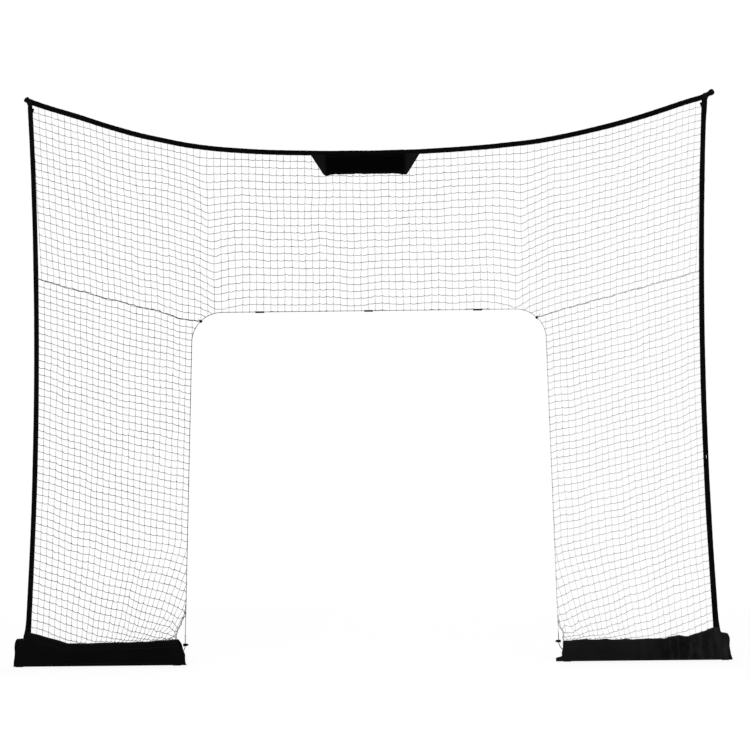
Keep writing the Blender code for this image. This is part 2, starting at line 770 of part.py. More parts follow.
def make_base_foot(name, side, inner_end, tube_diameter, opens_outwards):
    """A rubber block on a tube's end, flat underneath, with a blind bore for the tube."""
    low_x, high_x = sorted((inner_end, inner_end + (FOOT_LENGTH if opens_outwards else -FOOT_LENGTH)))
    block = box_mesh(
        name,
        (min(side * low_x, side * high_x), -FOOT_WIDTH / 2, 0.0),
        (max(side * low_x, side * high_x), FOOT_WIDTH / 2, FOOT_HEIGHT),
        FOOT_BEVEL,
    )
    foot = add_object(name, block, "rubber")
    wall_x = inner_end + (FOOT_END_WALL if opens_outwards else -FOOT_END_WALL)
    reach = FOOT_LENGTH + OVERCUT
    far_x = wall_x + (reach if opens_outwards else -reach)
    diameter = tube_diameter + 2 * GAP
    bore = cylinder_mesh("bore", (side * wall_x, 0, TUBE_Z), (side * far_x, 0, TUBE_Z), diameter)
    combine(foot, bore, "DIFFERENCE")


def make_base_feet(word, side):
    inner_end = INNER_TUBE_ENDS[0] - FOOT_END_WALL - GAP
    outer_end = OUTER_TUBE_END + FOOT_END_WALL + GAP
    make_base_foot(word + "_inner_foot", side, inner_end, INNER_TUBE_DIAMETER, True)
    make_base_foot(word + "_outer_foot", side, outer_end, OUTER_TUBE_DIAMETER, False)


def make_socket(word, side):
    """The upright tube that takes the foot of the pole."""
    base_z = TUBE_Z + OUTER_TUBE_DIAMETER / 2 + GAP + SOCKET_DIAMETER / 2 * math.tan(LEAN)
    hollow_tube(
        word + "_pole_socket",
        (side * POLE_X, 0, base_z),
        (side * POLE_X, 0, SOCKET_TOP_Z),
        SOCKET_DIAMETER,
        SOCKET_WALL,
        "steel",
        LEANING,
    )


# Rear leg


def make_leg_bracket(word, side):
    """A channel behind the base tube, with a hole through both ears for the leg's bolt."""
    inner_half = LEG_DIAMETER / 2 + TURN_GAP
    back_y = OUTER_TUBE_DIAMETER / 2 + GAP
    far_y = LEG_PIVOT_Y + BRACKET_EDGE
    low_x = side * LEG_X - BRACKET_WIDTH / 2
    high_x = side * LEG_X + BRACKET_WIDTH / 2
    name = word + "_leg_bracket"
    high_z = TUBE_Z + inner_half + BRACKET_PLATE
    low_z = TUBE_Z - inner_half - BRACKET_PLATE
    block = box_mesh(name, (low_x, back_y, low_z), (high_x, far_y, high_z))
    bracket = add_object(name, block, "steel")
    slot = box_mesh(
        "slot",
        (low_x - OVERCUT, back_y + BRACKET_PLATE, TUBE_Z - inner_half),
        (high_x + OVERCUT, far_y + OVERCUT, TUBE_Z + inner_half),
    )
    combine(bracket, slot, "DIFFERENCE")
    place = (side * LEG_X, LEG_PIVOT_Y)
    hole = BOLT_DIAMETER + 2 * HOLE_CLEARANCE
    drill = cylinder_mesh("drill", (*place, low_z - OVERCUT), (*place, high_z + OVERCUT), hole)
    combine(bracket, drill, "DIFFERENCE")


def make_leg_bolt(word, side):
    """The pivot bolt with its head above and its nut below the bracket."""
    half = LEG_DIAMETER / 2 + TURN_GAP + BRACKET_PLATE + GAP
    place = (side * LEG_X, LEG_PIVOT_Y)
    name = word + "_leg_bolt"
    low = TUBE_Z - half - BOLT_HEAD_HEIGHT
    high = TUBE_Z + half + BOLT_HEAD_HEIGHT
    shank = cylinder_mesh(name, (*place, low - BOLT_END), (*place, high - BOLT_END), BOLT_DIAMETER)
    bolt = add_object(name, shank, "zinc")
    for start, end in ((low, low + BOLT_HEAD_HEIGHT), (high - BOLT_HEAD_HEIGHT, high)):
        head = cylinder_mesh("head", (*place, start), (*place, end), BOLT_HEAD_DIAMETER, 6)
        combine(bolt, head, "UNION")


def make_rear_leg(word, side):
    pivot = new_empty(word + "_leg_pivot", (side * LEG_X, LEG_PIVOT_Y, TUBE_Z), parent=BASE)
    name = word + "_rear_leg"
    leg = hollow_tube(name, (0, -LEG_TAIL, 0), (0, LEG_LENGTH, 0), LEG_DIAMETER, LEG_WALL, "steel", pivot)
    reach = LEG_DIAMETER / 2 + OVERCUT
    drill = cylinder_mesh("drill", (0, 0, -reach), (0, 0, reach), BOLT_DIAMETER + 2 * HOLE_CLEARANCE)
    combine(leg, drill, "DIFFERENCE", pivot)
    foot_name = word + "_leg_foot"
    half = LEG_FOOT_WIDTH / 2
    end = LEG_LENGTH + GAP + FOOT_END_WALL
    low = (-half, end - FOOT_LENGTH, -TUBE_Z)
    high = (half, end, LEG_FOOT_HEIGHT - TUBE_Z)
    block = box_mesh(foot_name, low, high, FOOT_BEVEL)
    foot = add_object(foot_name, block, "rubber", pivot)
    mouth = end - FOOT_LENGTH - OVERCUT
    bore = cylinder_mesh("bore", (0, mouth, 0), (0, end - FOOT_END_WALL, 0), LEG_DIAMETER + 2 * GAP)
    combine(foot, bore, "DIFFERENCE", pivot)


# Cloth cover of the base


def cover_ridge():
    """Points along the ridge of the cover: shared stations, the pole and the outer end."""
    stations = cover_stations()
    points = []
    for (x0, z0), (x1, z1) in zip(zip(stations, COVER_RIDGE_Z), zip(stations[1:], COVER_RIDGE_Z[1:])):
        for i in range(COVER_COLUMNS_PER_STATION):
            t = i / COVER_COLUMNS_PER_STATION
            points.append((ease(t, x0, x1), ease(t, z0, z1)))
    points.append((stations[-1], COVER_RIDGE_Z[-1]))
    points.append((POLE_X, COVER_POLE_Z))
    for i in range(1, COVER_END_COLUMNS + 1):
        t = i / COVER_END_COLUMNS
        points.append((ease(t, POLE_X, COVER_OUTER_X), ease(t**1.5, COVER_POLE_Z, COVER_END_Z)))
    return points


def cover_section(height, fold):
    """Points across the cover at one station, from the front hem over the ridge to the back hem."""
    front_y = COVER_FRONT_Y
    return [
        (front_y, COVER_HEM_Z),
        (front_y - 0.4 * fold, 0.35 * height),
        (front_y + 0.001 - fold, 0.62 * height),
        (front_y + 0.005 - 0.5 * fold, 0.86 * height),
        (COVER_RIDGE_Y - 0.014, 0.97 * height),
        (COVER_RIDGE_Y, height),
        (COVER_RIDGE_Y + 0.012, 0.95 * height),
        (COVER_BACK_Y, 0.78 * height),
        (COVER_BACK_Y, COVER_BACK_Z),
    ]


def cover_fold(x):
    """Soft folds of the front cloth, strongest beside the pole."""
    near_pole = math.exp(-(((x - COVER_FOLD_MIDDLE_X) / COVER_FOLD_REACH) ** 2))
    wave = 0.5 + 0.5 * math.sin(2 * math.pi * x / COVER_FOLD_PITCH)
    return COVER_FOLD_DEPTH * (0.35 + 0.65 * near_pole) * wave


def make_base_cover(word, side):
    name = word + "_base_cover"
    shape = bmesh.new()
    columns = []
    for x, height in cover_ridge():
        section = cover_section(height, cover_fold(x))
        columns.append([shape.verts.new((side * x, y, z)) for y, z in section])
    for near, far in zip(columns, columns[1:]):
        for a, b, c, d in zip(near, near[1:], far[1:], far):
            shape.faces.new((a, b, c, d))
    shape.faces.new(columns[-1])
    bmesh.ops.recalc_face_normals(shape, faces=shape.faces[:])
    cover = add_object(name, mesh_from_bmesh(name, shape), "cloth")
    solidify = cover.modifiers.new("cloth", "SOLIDIFY")
    solidify.thickness = COVER_THICKNESS
    solidify.offset = 0.0
    hole = cylinder_mesh(
        "hole",
        (side * POLE_X, 0, SOCKET_TOP_Z - OVERCUT),
        (side * POLE_X, 0, COVER_POLE_Z + OVERCUT),
        SLEEVE_DIAMETER + 2 * GAP,
    )
    combine(cover, hole, "DIFFERENCE", LEANING)


# Straps along the top of the opening


def make_tie(name, x, z, angle, width):
    """A folded strap on the outer side of the border cord at an angle, standing back from the net."""
    pivot = new_empty(name + "_pivot", (x, 0.0, z), (0.0, math.pi / 2 - angle, 0.0), LEANING)
    near_y = SEAM_CORD_DIAMETER / 2 + GAP
    near_z = BORDER_CORD_DIAMETER / 2 + GAP
    tab = box_mesh(
        name,
        (-width / 2, near_y, near_z),
        (width / 2, near_y + TIE_LENGTH, near_z + TIE_THICKNESS),
        0.0008,
    )
    add_object(name, tab, "webbing", pivot)


def make_ties():
    inset = CORD_RADIUS * (1 - math.cos(math.radians(45) / BORDER_ARC_PIECES))
    corner_x, corner_z = arc_point(math.radians(45), -inset)
    for word, side in SIDES:
        slant = math.radians(90 - 45 * side)
        make_tie(word + "_corner_tie", side * corner_x, corner_z, slant, CORNER_TIE_WIDTH)
    for word, x in (("left", -CROSSBAR_TIE_X), ("center", 0.0), ("right", CROSSBAR_TIE_X)):
        make_tie(word + "_crossbar_tie", x, CORD_TOP_Z, math.radians(90), CROSSBAR_TIE_WIDTH)


# Cord lock at the foot of the opening


def leaned_y(z):
    return math.sin(LEAN) * z


def make_cord_lock(word, side):
    """A bungee from the border cord down to the inner foot, with its spring toggle."""
    y = leaned_y(BORDER_BOTTOM_Z)
    top = BORDER_BOTTOM_Z * math.cos(LEAN) - BORDER_CORD_DIAMETER / 2 * math.sin(LEAN) - GAP
    anchor_x = INNER_TUBE_ENDS[0] - FOOT_END_WALL - GAP + FOOT_BEVEL + BUNGEE_DIAMETER
    low = FOOT_HEIGHT + GAP + BUNGEE_DIAMETER / 2 * 0.35
    points = [
        (side * CORD_X, y, top),
        (side * CORD_X, y, TOGGLE_Z - TOGGLE_DIAMETER / 2 - 0.004),
        (side * (CORD_X + 0.006), y, 0.072),
        (side * (anchor_x - 0.003), y, 0.056),
        (side * anchor_x, y, low),
    ]
    cord(word + "_bungee", points, BUNGEE_DIAMETER, "twine")
    face_x = CORD_X - TOGGLE_LENGTH / 2
    name = word + "_cord_lock"
    start = (side * face_x, y, TOGGLE_Z)
    end = (side * (face_x + TOGGLE_LENGTH), y, TOGGLE_Z)
    lock = add_object(name, cylinder_mesh(name, start, end, TOGGLE_DIAMETER), "plastic")
    passage = cylinder_mesh(
        "passage",
        (side * CORD_X, y, TOGGLE_Z - TOGGLE_DIAMETER / 2 - OVERCUT),
        (side * CORD_X, y, TOGGLE_Z + TOGGLE_DIAMETER / 2 + OVERCUT),
        BUNGEE_DIAMETER + 2 * HOLE_CLEARANCE,
        CORD_SEGMENTS,
    )
    combine(lock, passage, "DIFFERENCE")
    bore = cylinder_mesh(
        "bore",
        (side * (face_x - OVERCUT), y, TOGGLE_Z),
        (side * (face_x + TOGGLE_BORE_DEPTH), y, TOGGLE_Z),
        PLUNGER_DIAMETER + 2 * HOLE_CLEARANCE,
    )
    combine(lock, bore, "DIFFERENCE")
    button = word + "_cord_lock_button"
    start = (side * (face_x - PLUNGER_PROUD), y, TOGGLE_Z)
    end = (side * (face_x + PLUNGER_SEAT), y, TOGGLE_Z)
    add_object(button, cylinder_mesh(button, start, end, PLUNGER_DIAMETER), "plastic")


clear_scene()
PARTS = new_collection("Backstop net")
CUTTERS = new_collection("Cutters")
BASE = new_empty("base_frame", (0, NET_Y, 0))
LEANING = new_empty("net_plane", (0, 0, 0), (-LEAN, 0, 0), BASE)

make_nets()
make_border_cord()
make_top_band()
make_center_panel()
make_ties()
for word, side in SIDES:
    make_seam_lacing(word, side)
    make_sleeve(word, side)
    make_pole(word, side)
    make_corner(word, side)
    make_base_tubes(word, side)
    make_snap_button(word, side)
    make_base_feet(word, side)
    make_socket(word, side)
    make_leg_bracket(word, side)
    make_leg_bolt(word, side)
    make_rear_leg(word, side)
    make_base_cover(word, side)
    make_cord_lock(word, side)
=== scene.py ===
"""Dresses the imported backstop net: knotted twine, sewn bands and cloth, straps, cords and base hardware."""

import math

import bmesh
import bpy
import numpy as np
from mathutils import Matrix, Vector


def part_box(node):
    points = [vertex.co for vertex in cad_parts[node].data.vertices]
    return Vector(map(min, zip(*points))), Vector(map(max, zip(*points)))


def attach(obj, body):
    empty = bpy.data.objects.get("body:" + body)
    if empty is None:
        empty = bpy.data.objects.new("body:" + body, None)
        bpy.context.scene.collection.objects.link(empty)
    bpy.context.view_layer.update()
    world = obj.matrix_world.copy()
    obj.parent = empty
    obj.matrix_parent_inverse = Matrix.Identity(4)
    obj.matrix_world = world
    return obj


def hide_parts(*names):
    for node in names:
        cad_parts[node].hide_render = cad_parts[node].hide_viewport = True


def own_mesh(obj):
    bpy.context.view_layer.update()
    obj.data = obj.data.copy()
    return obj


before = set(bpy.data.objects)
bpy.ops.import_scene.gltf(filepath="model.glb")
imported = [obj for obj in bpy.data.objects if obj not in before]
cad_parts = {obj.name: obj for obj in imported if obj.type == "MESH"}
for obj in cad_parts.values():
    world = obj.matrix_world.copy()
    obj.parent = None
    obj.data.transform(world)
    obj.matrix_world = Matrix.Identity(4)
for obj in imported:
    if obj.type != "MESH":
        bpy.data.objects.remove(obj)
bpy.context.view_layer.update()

bl_info = {
    "name": "Backstop Net Dressing",
    "version": (1, 0, 0),
    "blender": (4, 5, 0),
    "location": "3D View > Sidebar > Backstop Net",
    "description": "Builds the twine, cloth, webbing and hardware of a freestanding backstop net",
    "category": "Object",
}

SIDES = (("left", -1), ("right", 1))
ROOT = "net_and_bases"

# The net's own plane leans back about the floor line at this depth
LEAN = math.radians(3.55)
NET_Y = -0.2621

# Pole, top edge and opening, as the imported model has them
POLE_X = 1.785
POLE_BOW = 0.138
POLE_BOW_START = 0.5
POLE_BOW_POWER = 1.9
CORNER_V = 3.115
CORNER_X = POLE_X + POLE_BOW
TOP_CENTRE_V = 2.790
TOP_SAG_POWER = 2.45
BAND_END_X = CORNER_X - 0.0123
BAND_HALF = 0.012
SLEEVE_RADIUS = 0.011
SLEEVE_BOTTOM_V = 0.150
SLEEVE_TOP_V = 3.0977
CORD_X = 0.9675
CORD_TOP_V = 1.8705
CORD_ARC = 0.1625
ARC_X = CORD_X - CORD_ARC
ARC_V = CORD_TOP_V - CORD_ARC
BORDER_BOTTOM_V = 0.139
SEAM_IN = (ARC_X + CORD_ARC * math.sqrt(0.5), ARC_V + CORD_ARC * math.sqrt(0.5))
SEAM_OUT_V = 2.075

# Base of each side
TUBE_Z = 0.026
LEG_X = 1.700
LEG_Y = NET_Y + 0.045
COVER_IN_X = 0.985
COVER_OUT_X = 1.842
COVER_RIDGE = {
    "left": [
        (0.985, 0.126), (1.030, 0.127), (1.170, 0.120), (1.320, 0.117), (1.480, 0.114), (1.575, 0.115),
        (1.768, 0.170), (1.782, 0.177), (1.797, 0.173), (1.804, 0.142), (1.842, 0.140),
    ],
    "right": [
        (0.985, 0.101), (1.075, 0.108), (1.200, 0.109), (1.350, 0.107), (1.510, 0.108), (1.590, 0.124),
        (1.640, 0.118), (1.768, 0.160), (1.785, 0.165), (1.797, 0.161), (1.806, 0.138), (1.842, 0.133),
    ],
}

# Where the band of a used net strays from its even sag: middle, width and rise. Its right corner hangs lower
BAND_WAVES = (
    (-1.74, 0.27, 0.0090), (-1.60, 0.17, 0.0060), (-0.98, 0.26, -0.0070), (-0.74, 0.42, -0.0078),
    (0.00, 0.35, -0.0035), (0.97, 0.22, -0.0046), (1.95, 0.105, -0.0145),
)
CORNER_SHIFT = {"left": 0.0, "right": -0.0125}


# Small mathematics


def ease(t, start, end):
    return start + (end - start) * t


def smoothstep(low, high, value):
    t = np.clip((np.asarray(value, float) - low) / (high - low), 0.0, 1.0)
    return t * t * (3 - 2 * t)


def hill(x, middle, wide):
    """A smooth bump of height one."""
    return np.exp(-(((x - middle) / wide) ** 2))


def unit(vectors):
    vectors = np.asarray(vectors, float)
    return vectors / np.maximum(np.linalg.norm(vectors, axis=-1, keepdims=True), 1e-12)


def turns(sides):
    """The angles of the corners of a polygon."""
    return np.arange(sides) * 2 * math.pi / sides


def circle(axis, sides, helper=2):
    """Points of a unit circle round an axis, which start square to the helper axis of the frame."""
    helper = helper if abs(axis[helper]) < 0.9 else 0
    across = unit(np.cross(np.eye(3)[helper], axis))
    angle = turns(sides)[:, None]
    return np.cos(angle) * across + np.sin(angle) * np.cross(axis, across)


def swept(profile, start, axis, sides):
    """A profile of radius and height pairs, turned about an axis."""
    radius, height = profile[:, 0, None, None], profile[:, 1, None, None]
    return np.asarray(start, float) + height * axis + radius * circle(axis, sides)


def together(*parts):
    """Grids of numbers as one grid of pairs or points."""
    return np.stack(np.broadcast_arrays(*parts), axis=-1).astype(float)


def quads(grid):
    """The four corners of each cell of a grid."""
    return np.stack([grid[:-1, :-1], grid[:-1, 1:], grid[1:, 1:], grid[1:, :-1]], axis=2)


def ripple(x, z, pitch, seed, stretch=(1.0, 1.0)):
    """A smooth irregular surface between about -1 and 1, the same each time."""
    rng = np.random.default_rng(seed)
    waves, total = 7, 0.0
    for _ in range(waves):
        angle, phase, size = rng.uniform(0, math.pi), rng.uniform(0, 2 * math.pi), rng.uniform(0.7, 1.5)
        way = x * stretch[0] * math.cos(angle) + z * stretch[1] * math.sin(angle)
        total = total + np.sin(2 * math.pi * size / pitch * way + phase)
    return total / math.sqrt(waves * 2)


def patchy(shape, row_step, column_step, seed):
    """A grid of smoothly changing random numbers between about -1 and 1."""
    rng = np.random.default_rng(seed)
    rows, columns = shape
    coarse = rng.uniform(-1, 1, (int(rows / row_step) + 3, int(columns / column_step) + 3))
    a, b = np.arange(rows) / row_step, np.arange(columns) / column_step
    i, j = a.astype(int), b.astype(int)
    s, t = smoothstep(0, 1, a - i)[:, None], smoothstep(0, 1, b - j)[None, :]
    low = ease(t, coarse[np.ix_(i, j)], coarse[np.ix_(i, j + 1)])
    high = ease(t, coarse[np.ix_(i + 1, j)], coarse[np.ix_(i + 1, j + 1)])
    return ease(s, low, high)


def along(line):
    """Distance of each point from the start of a line."""
    return np.concatenate([[0.0], np.cumsum(np.linalg.norm(np.diff(line, axis=0), axis=1))])


def at_runs(line, run, at):
    """Points of a line at distances along it."""
    return together(*(np.interp(at, run, line[:, k]) for k in range(line.shape[1])))


def evenly(line, step):
    """The line again, with points a step apart."""
    line = np.asarray(line, float)
    run = along(line)
    return at_runs(line, run, np.linspace(0.0, run[-1], max(2, int(round(run[-1] / step)) + 1)))


def rounded(line, passes=3):
    """Corners of a line cut off again and again, with its ends kept."""
    line = np.asarray(line, float)
    for _ in range(passes):
        near, far = (line[:-1] * share + line[1:] * (1 - share) for share in (0.75, 0.25))
        middle = np.stack([near, far], axis=1).reshape(-1, line.shape[1])
        line = np.concatenate([line[:1], middle[1:-1], line[-1:]])
    return line


# Curves that the net and its edges share


def lean(points):
    """From the net's plane (across, behind, up) to the row frame."""
    points = np.asarray(points, float)
    out = points.copy()
    out[..., 1] = NET_Y + points[..., 1] * math.cos(LEAN) + points[..., 2] * math.sin(LEAN)
    out[..., 2] = points[..., 2] * math.cos(LEAN) - points[..., 1] * math.sin(LEAN)
    return out


def lean_way(way):
    """A direction in the net's plane, in the row frame."""
    return lean(way) - lean(np.zeros(3))


BEHIND = lean_way((0, 1, 0))


def pole_x(v):
    reach = np.maximum((np.asarray(v, float) - POLE_BOW_START) / (CORNER_V - POLE_BOW_START), 0.0)
    return POLE_X + POLE_BOW * reach**POLE_BOW_POWER


def net_side_x(v):
    return pole_x(v) - SLEEVE_RADIUS


def top_v(x):
    """Height of the top edge."""
    x = np.asarray(x, float)
    sag = ease((np.abs(x) / CORNER_X) ** TOP_SAG_POWER, TOP_CENTRE_V, CORNER_V)
    return sag + sum(rise * hill(x, middle, wide) for middle, wide, rise in BAND_WAVES)


SEAM_OUT_X = float(net_side_x(SEAM_OUT_V))
SEAM_SLOPE = (SEAM_OUT_V - SEAM_IN[1]) / (SEAM_OUT_X - SEAM_IN[0])


def seam_v(x):
    """Height of the seam, which sags a little and lies unevenly. The sign of x picks the side."""
    out = np.abs(x)
    share = np.clip((out - SEAM_IN[0]) / (SEAM_OUT_X - SEAM_IN[0]), 0.0, 1.0)
    arch = np.sin(math.pi * share) ** 0.5
    sag = 0.008 * arch + 0.010 * hill(share, 0.12, 0.08) * smoothstep(0.0, 0.05, share)
    uneven = 0.0026 * ripple(x, 0, 0.16, 61) + 0.0034 * ripple(x, 0, 0.042, 62)
    return SEAM_IN[1] + SEAM_SLOPE * (out - SEAM_IN[0]) - sag * np.where(x < 0, 1.0, -0.2) + uneven * arch


def ridge_z(x):
    """Height of the top edge of the cloth cover over the floor."""
    left, right = (np.interp(np.abs(x), *zip(*COVER_RIDGE[word])) for word, _ in SIDES)
    return np.where(x < 0, left, right)


def from_opening(x, v):
    """Distance outwards from the middle of the cord round the opening."""
    across, above = np.abs(x) - ARC_X, v - ARC_V
    corner = np.hypot(np.maximum(across, 0.0), np.maximum(above, 0.0))
    return corner + np.minimum(np.maximum(across, above), 0.0) - CORD_ARC


# Meshes


class Shape:
    """Collects points and faces with their place on the cloth or cord in metres, and makes a mesh of them."""

    def __init__(self):
        self.points, self.faces, self.layout, self.slots = [], [], [], []
        self.count = 0

    def add(self, points, faces, layout=None, slot=0):
        """Adds points, and faces whose numbers count from the first of them."""
        self.add_faces(faces, layout, slot)
        self.points.append(np.asarray(points, float).reshape(-1, 3))
        self.count += len(self.points[-1])

    def add_faces(self, faces, layout=None, slot=0):
        faces = np.asarray(faces, int)
        self.faces.append(faces + self.count)
        self.layout.append(np.zeros((*faces.shape, 2)) if layout is None else layout)
        self.slots.append(np.full(len(faces), slot))

    def grid(self, points, layout, slot=0, closed=False):
        """A sheet of points in rows and columns; a closed one joins its last column to its first."""
        index = np.arange(points.shape[0] * points.shape[1]).reshape(points.shape[:2])
        if closed:
            index = np.pad(index, ((0, 0), (0, 1)), mode="wrap")
        self.add(points, quads(index).reshape(-1, 4), quads(layout).reshape(-1, 4, 2), slot)

    def barrel(self, points, layout, slot=0):
        """A closed grid with both its ends closed too."""
        self.grid(points, layout, slot, closed=True)
        rows, sides = points.shape[:2]
        last = np.arange(sides) - sides
        self.add_faces([last[::-1] - (rows - 1) * sides, last], slot=slot)

    def tube(self, line, radius, sides=6, up=BEHIND, slot=0, twist=None):
        """A round cord along a line, whose radius may change. A twist is its strands, their lay and depth."""
        line = np.asarray(line, float)
        tangent = unit(np.gradient(line, axis=0))
        across = unit(np.cross(tangent, np.asarray(up, float)))[:, None]
        lift = np.cross(across, tangent[:, None])
        run, angle = along(line)[:, None], turns(sides)
        swell = np.ones((len(line), sides))
        if twist:
            lobes, lay, depth = twist
            swell = 1 - depth + depth * np.abs(np.cos(lobes / 2 * (angle - 2 * math.pi / lay * run)))
        ring = (swell.T * radius).T[..., None]
        angle = angle[:, None]
        points = line[:, None] + ring * (np.cos(angle) * across + np.sin(angle) * lift)
        self.barrel(points, together(run, np.arange(sides + 1) / sides), slot)

    def turned(self, profile, start, axis, sides=32, slot=0):
        """A lathe shape: radius and height pairs along an axis, closed at both ends."""
        profile, axis = np.asarray(profile, float), unit(axis)
        girth = np.arange(sides + 1) / sides * 2 * math.pi * profile[:, 0].max()
        self.barrel(swept(profile, start, axis, sides), together(profile[:, 1:], girth), slot)

    def ring(self, centre, axis, radius, thickness, sides=10, round_sides=5, slot=0):
        """A small loop of cord round an axis."""
        axis = unit(axis)
        angle = turns(round_sides)[:, None]
        out = circle(axis, sides, helper=1)[:, None]
        points = np.asarray(centre, float) + out * (radius + thickness * np.cos(angle))
        points = points + axis * thickness * np.sin(angle)
        run = np.arange(sides + 1)[:, None] / sides * 2 * math.pi * radius
        layout = together(run, np.arange(round_sides + 1) / round_sides)
        self.grid(np.concatenate([points, points[:1]]), layout, slot, closed=True)

    def pipe(self, start, end, outer, wall, sides=40):
        """A length of tube with a wall and softened ends."""
        start, end = np.asarray(start, float), np.asarray(end, float)
        long, soft = np.linalg.norm(end - start), min(0.0005, wall / 3)
        r, q = outer / 2, outer / 2 - wall
        profile = [(q, soft), (q + soft, 0), (r - soft, 0), (r, soft)]
        profile = np.array(profile + [(radius, long - height) for radius, height in reversed(profile)])
        index = np.pad(np.arange(8 * sides).reshape(8, sides), ((0, 1), (0, 1)), mode="wrap")
        self.add(swept(profile, start, unit(end - start), sides), quads(index).reshape(-1, 4))

    def solid(self, made, slot=0):
        """Adds a bmesh, and frees it."""
        made.verts.index_update()
        by_size = {}
        for face in made.faces:
            by_size.setdefault(len(face.verts), []).append([v.index for v in face.verts])
        for faces in by_size.values():
            self.add_faces(faces, slot=slot)
        self.add([v.co[:] for v in made.verts], np.zeros((0, 3)))
        made.free()

    def block(self, low, high, bevel, steps=3, slot=0, matrix=None):
        """A box with rounded edges."""
        low, high = Vector(low), Vector(high)
        made = bmesh.new()
        size = Matrix.Translation((low + high) / 2) @ Matrix.Diagonal((*(high - low), 1.0))
        bmesh.ops.create_cube(made, size=1.0, matrix=size)
        bmesh.ops.bevel(made, geom=made.edges[:], offset=bevel, segments=steps, profile=0.5, affect="EDGES")
        if matrix is not None:
            bmesh.ops.transform(made, matrix=matrix, verts=made.verts[:])
        self.solid(made, slot)

    def stitches(self, line, out, length=0.0046, pitch=0.0066, radius=0.00045, slot=0):
        """A row of sewn stitches that stand a little out of the cloth."""
        line = np.asarray(line, float)
        run = along(line)
        count = max(1, int(run[-1] / pitch))
        middle = (np.arange(count) + 0.5) * run[-1] / count
        at = middle[:, None] + np.array([-0.5, -0.36, 0.36, 0.5]) * length
        normal = at_runs(unit(np.broadcast_to(np.asarray(out, float), line.shape)), run, at)
        points = at_runs(line, run, at) + normal * (np.array([-0.6, 0.5, 0.5, -0.6]) * radius)[:, None]
        across = np.cross(unit(points[:, -1] - points[:, 0])[:, None], normal) * radius
        lift = normal * radius
        corners = np.stack([points + across, points + lift, points - across, points - lift], axis=2)
        one = np.pad(np.arange(16).reshape(4, 4), ((0, 0), (0, 1)), mode="wrap")
        faces = np.concatenate([quads(one).reshape(-1, 4), one[:1, 3::-1], one[3:, :4]])
        self.add(corners, (faces + 16 * np.arange(count)[:, None, None]).reshape(-1, 4), slot=slot)

    def mesh(self, name, smooth):
        corners = np.concatenate([faces.ravel() for faces in self.faces])
        sizes = np.concatenate([np.full(len(faces), faces.shape[1]) for faces in self.faces])
        layout = np.concatenate([pairs.reshape(-1, 2) for pairs in self.layout])
        mesh = bpy.data.meshes.new(name)
        mesh.vertices.add(self.count)
        mesh.loops.add(len(corners))
        mesh.polygons.add(len(sizes))
        mesh.vertices.foreach_set("co", np.concatenate(self.points).ravel().astype(np.float32))
        mesh.loops.foreach_set("vertex_index", corners.astype(np.int32))
        mesh.polygons.foreach_set("loop_start", (np.cumsum(sizes) - sizes).astype(np.int32))
        mesh.polygons.foreach_set("material_index", np.concatenate(self.slots).astype(np.int32))
        mesh.uv_layers.new(name="Layout").uv.foreach_set("vector", layout.ravel().astype(np.float32))
        mesh.update(calc_edges=True)
        mesh.validate()
        mesh.shade_smooth()
        if smooth:
            mesh.set_sharp_from_angle(angle=math.radians(smooth))
        return mesh


def place(name, shape, finishes, instead=None, body=ROOT, smooth=35.0):
    """Makes a piece in one or more finishes that rides on a body and stands for a CAD node."""
    obj = bpy.data.objects.new(name, shape.mesh(name, smooth))
    bpy.context.scene.collection.objects.link(obj)
    for finish in finishes.split():
        obj.data.materials.append(finish_of(finish))
    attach(obj, body)
    if instead:
        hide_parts(instead)
    return obj


def thicken(obj, thickness, offset=0.0):
    """Gives cloth or a leaf its thickness."""
    wall = obj.modifiers.new("wall", "SOLIDIFY")
    wall.thickness = thickness
    wall.offset = offset


# Materials


class Value:
    """A socket of a material, on which arithmetic adds Math nodes."""

    def __init__(self, nodes, socket):
        self.nodes = nodes
        self.socket = socket

    def math(self, operation, *others):
        return self.nodes.node("ShaderNodeMath", {"operation": operation}, dict(enumerate((self, *others))))

    def __add__(self, other):
        return self.math("ADD", other)

    def __sub__(self, other):
        return self.math("SUBTRACT", other)

    def __rsub__(self, other):
        return self.nodes.node("ShaderNodeMath", {"operation": "SUBTRACT"}, {0: other, 1: self})

    def __mul__(self, other):
        return self.math("MULTIPLY", other)

    __radd__ = __add__
    __rmul__ = __mul__

    def limited(self):
        return self.math("MINIMUM", 1.0).math("MAXIMUM", 0.0)


class Nodes:
    """Adds nodes to the tree of a material or of the world."""

    def __init__(self, tree):
        self.tree = tree

    def node(self, kind, settings=None, inputs=None, output=0):
        """Adds a node: its settings first, then the values or links of its sockets."""
        made = self.tree.nodes.new(kind)
        for key, value in (settings or {}).items():
            setattr(made, key, value)
        for key, value in (inputs or {}).items():
            self.feed(made.inputs[key], value)
        return Value(self, made.outputs[output]) if made.outputs else None

    def feed(self, socket, value):
        if isinstance(value, Value):
            self.tree.links.new(value.socket, socket)
        else:
            socket.default_value = value

    def seen_plainly(self):
        """One for rays from the camera, and for those that it sees by way of a mirror or through glass."""
        rays = self.node("ShaderNodeLightPath").socket.node.outputs
        kinds = ("Is Camera Ray", "Is Glossy Ray", "Is Transmission Ray")
        camera, glossy, through = (Value(self, rays[kind]) for kind in kinds)
        return camera.math("MAXIMUM", glossy).math("MAXIMUM", through)


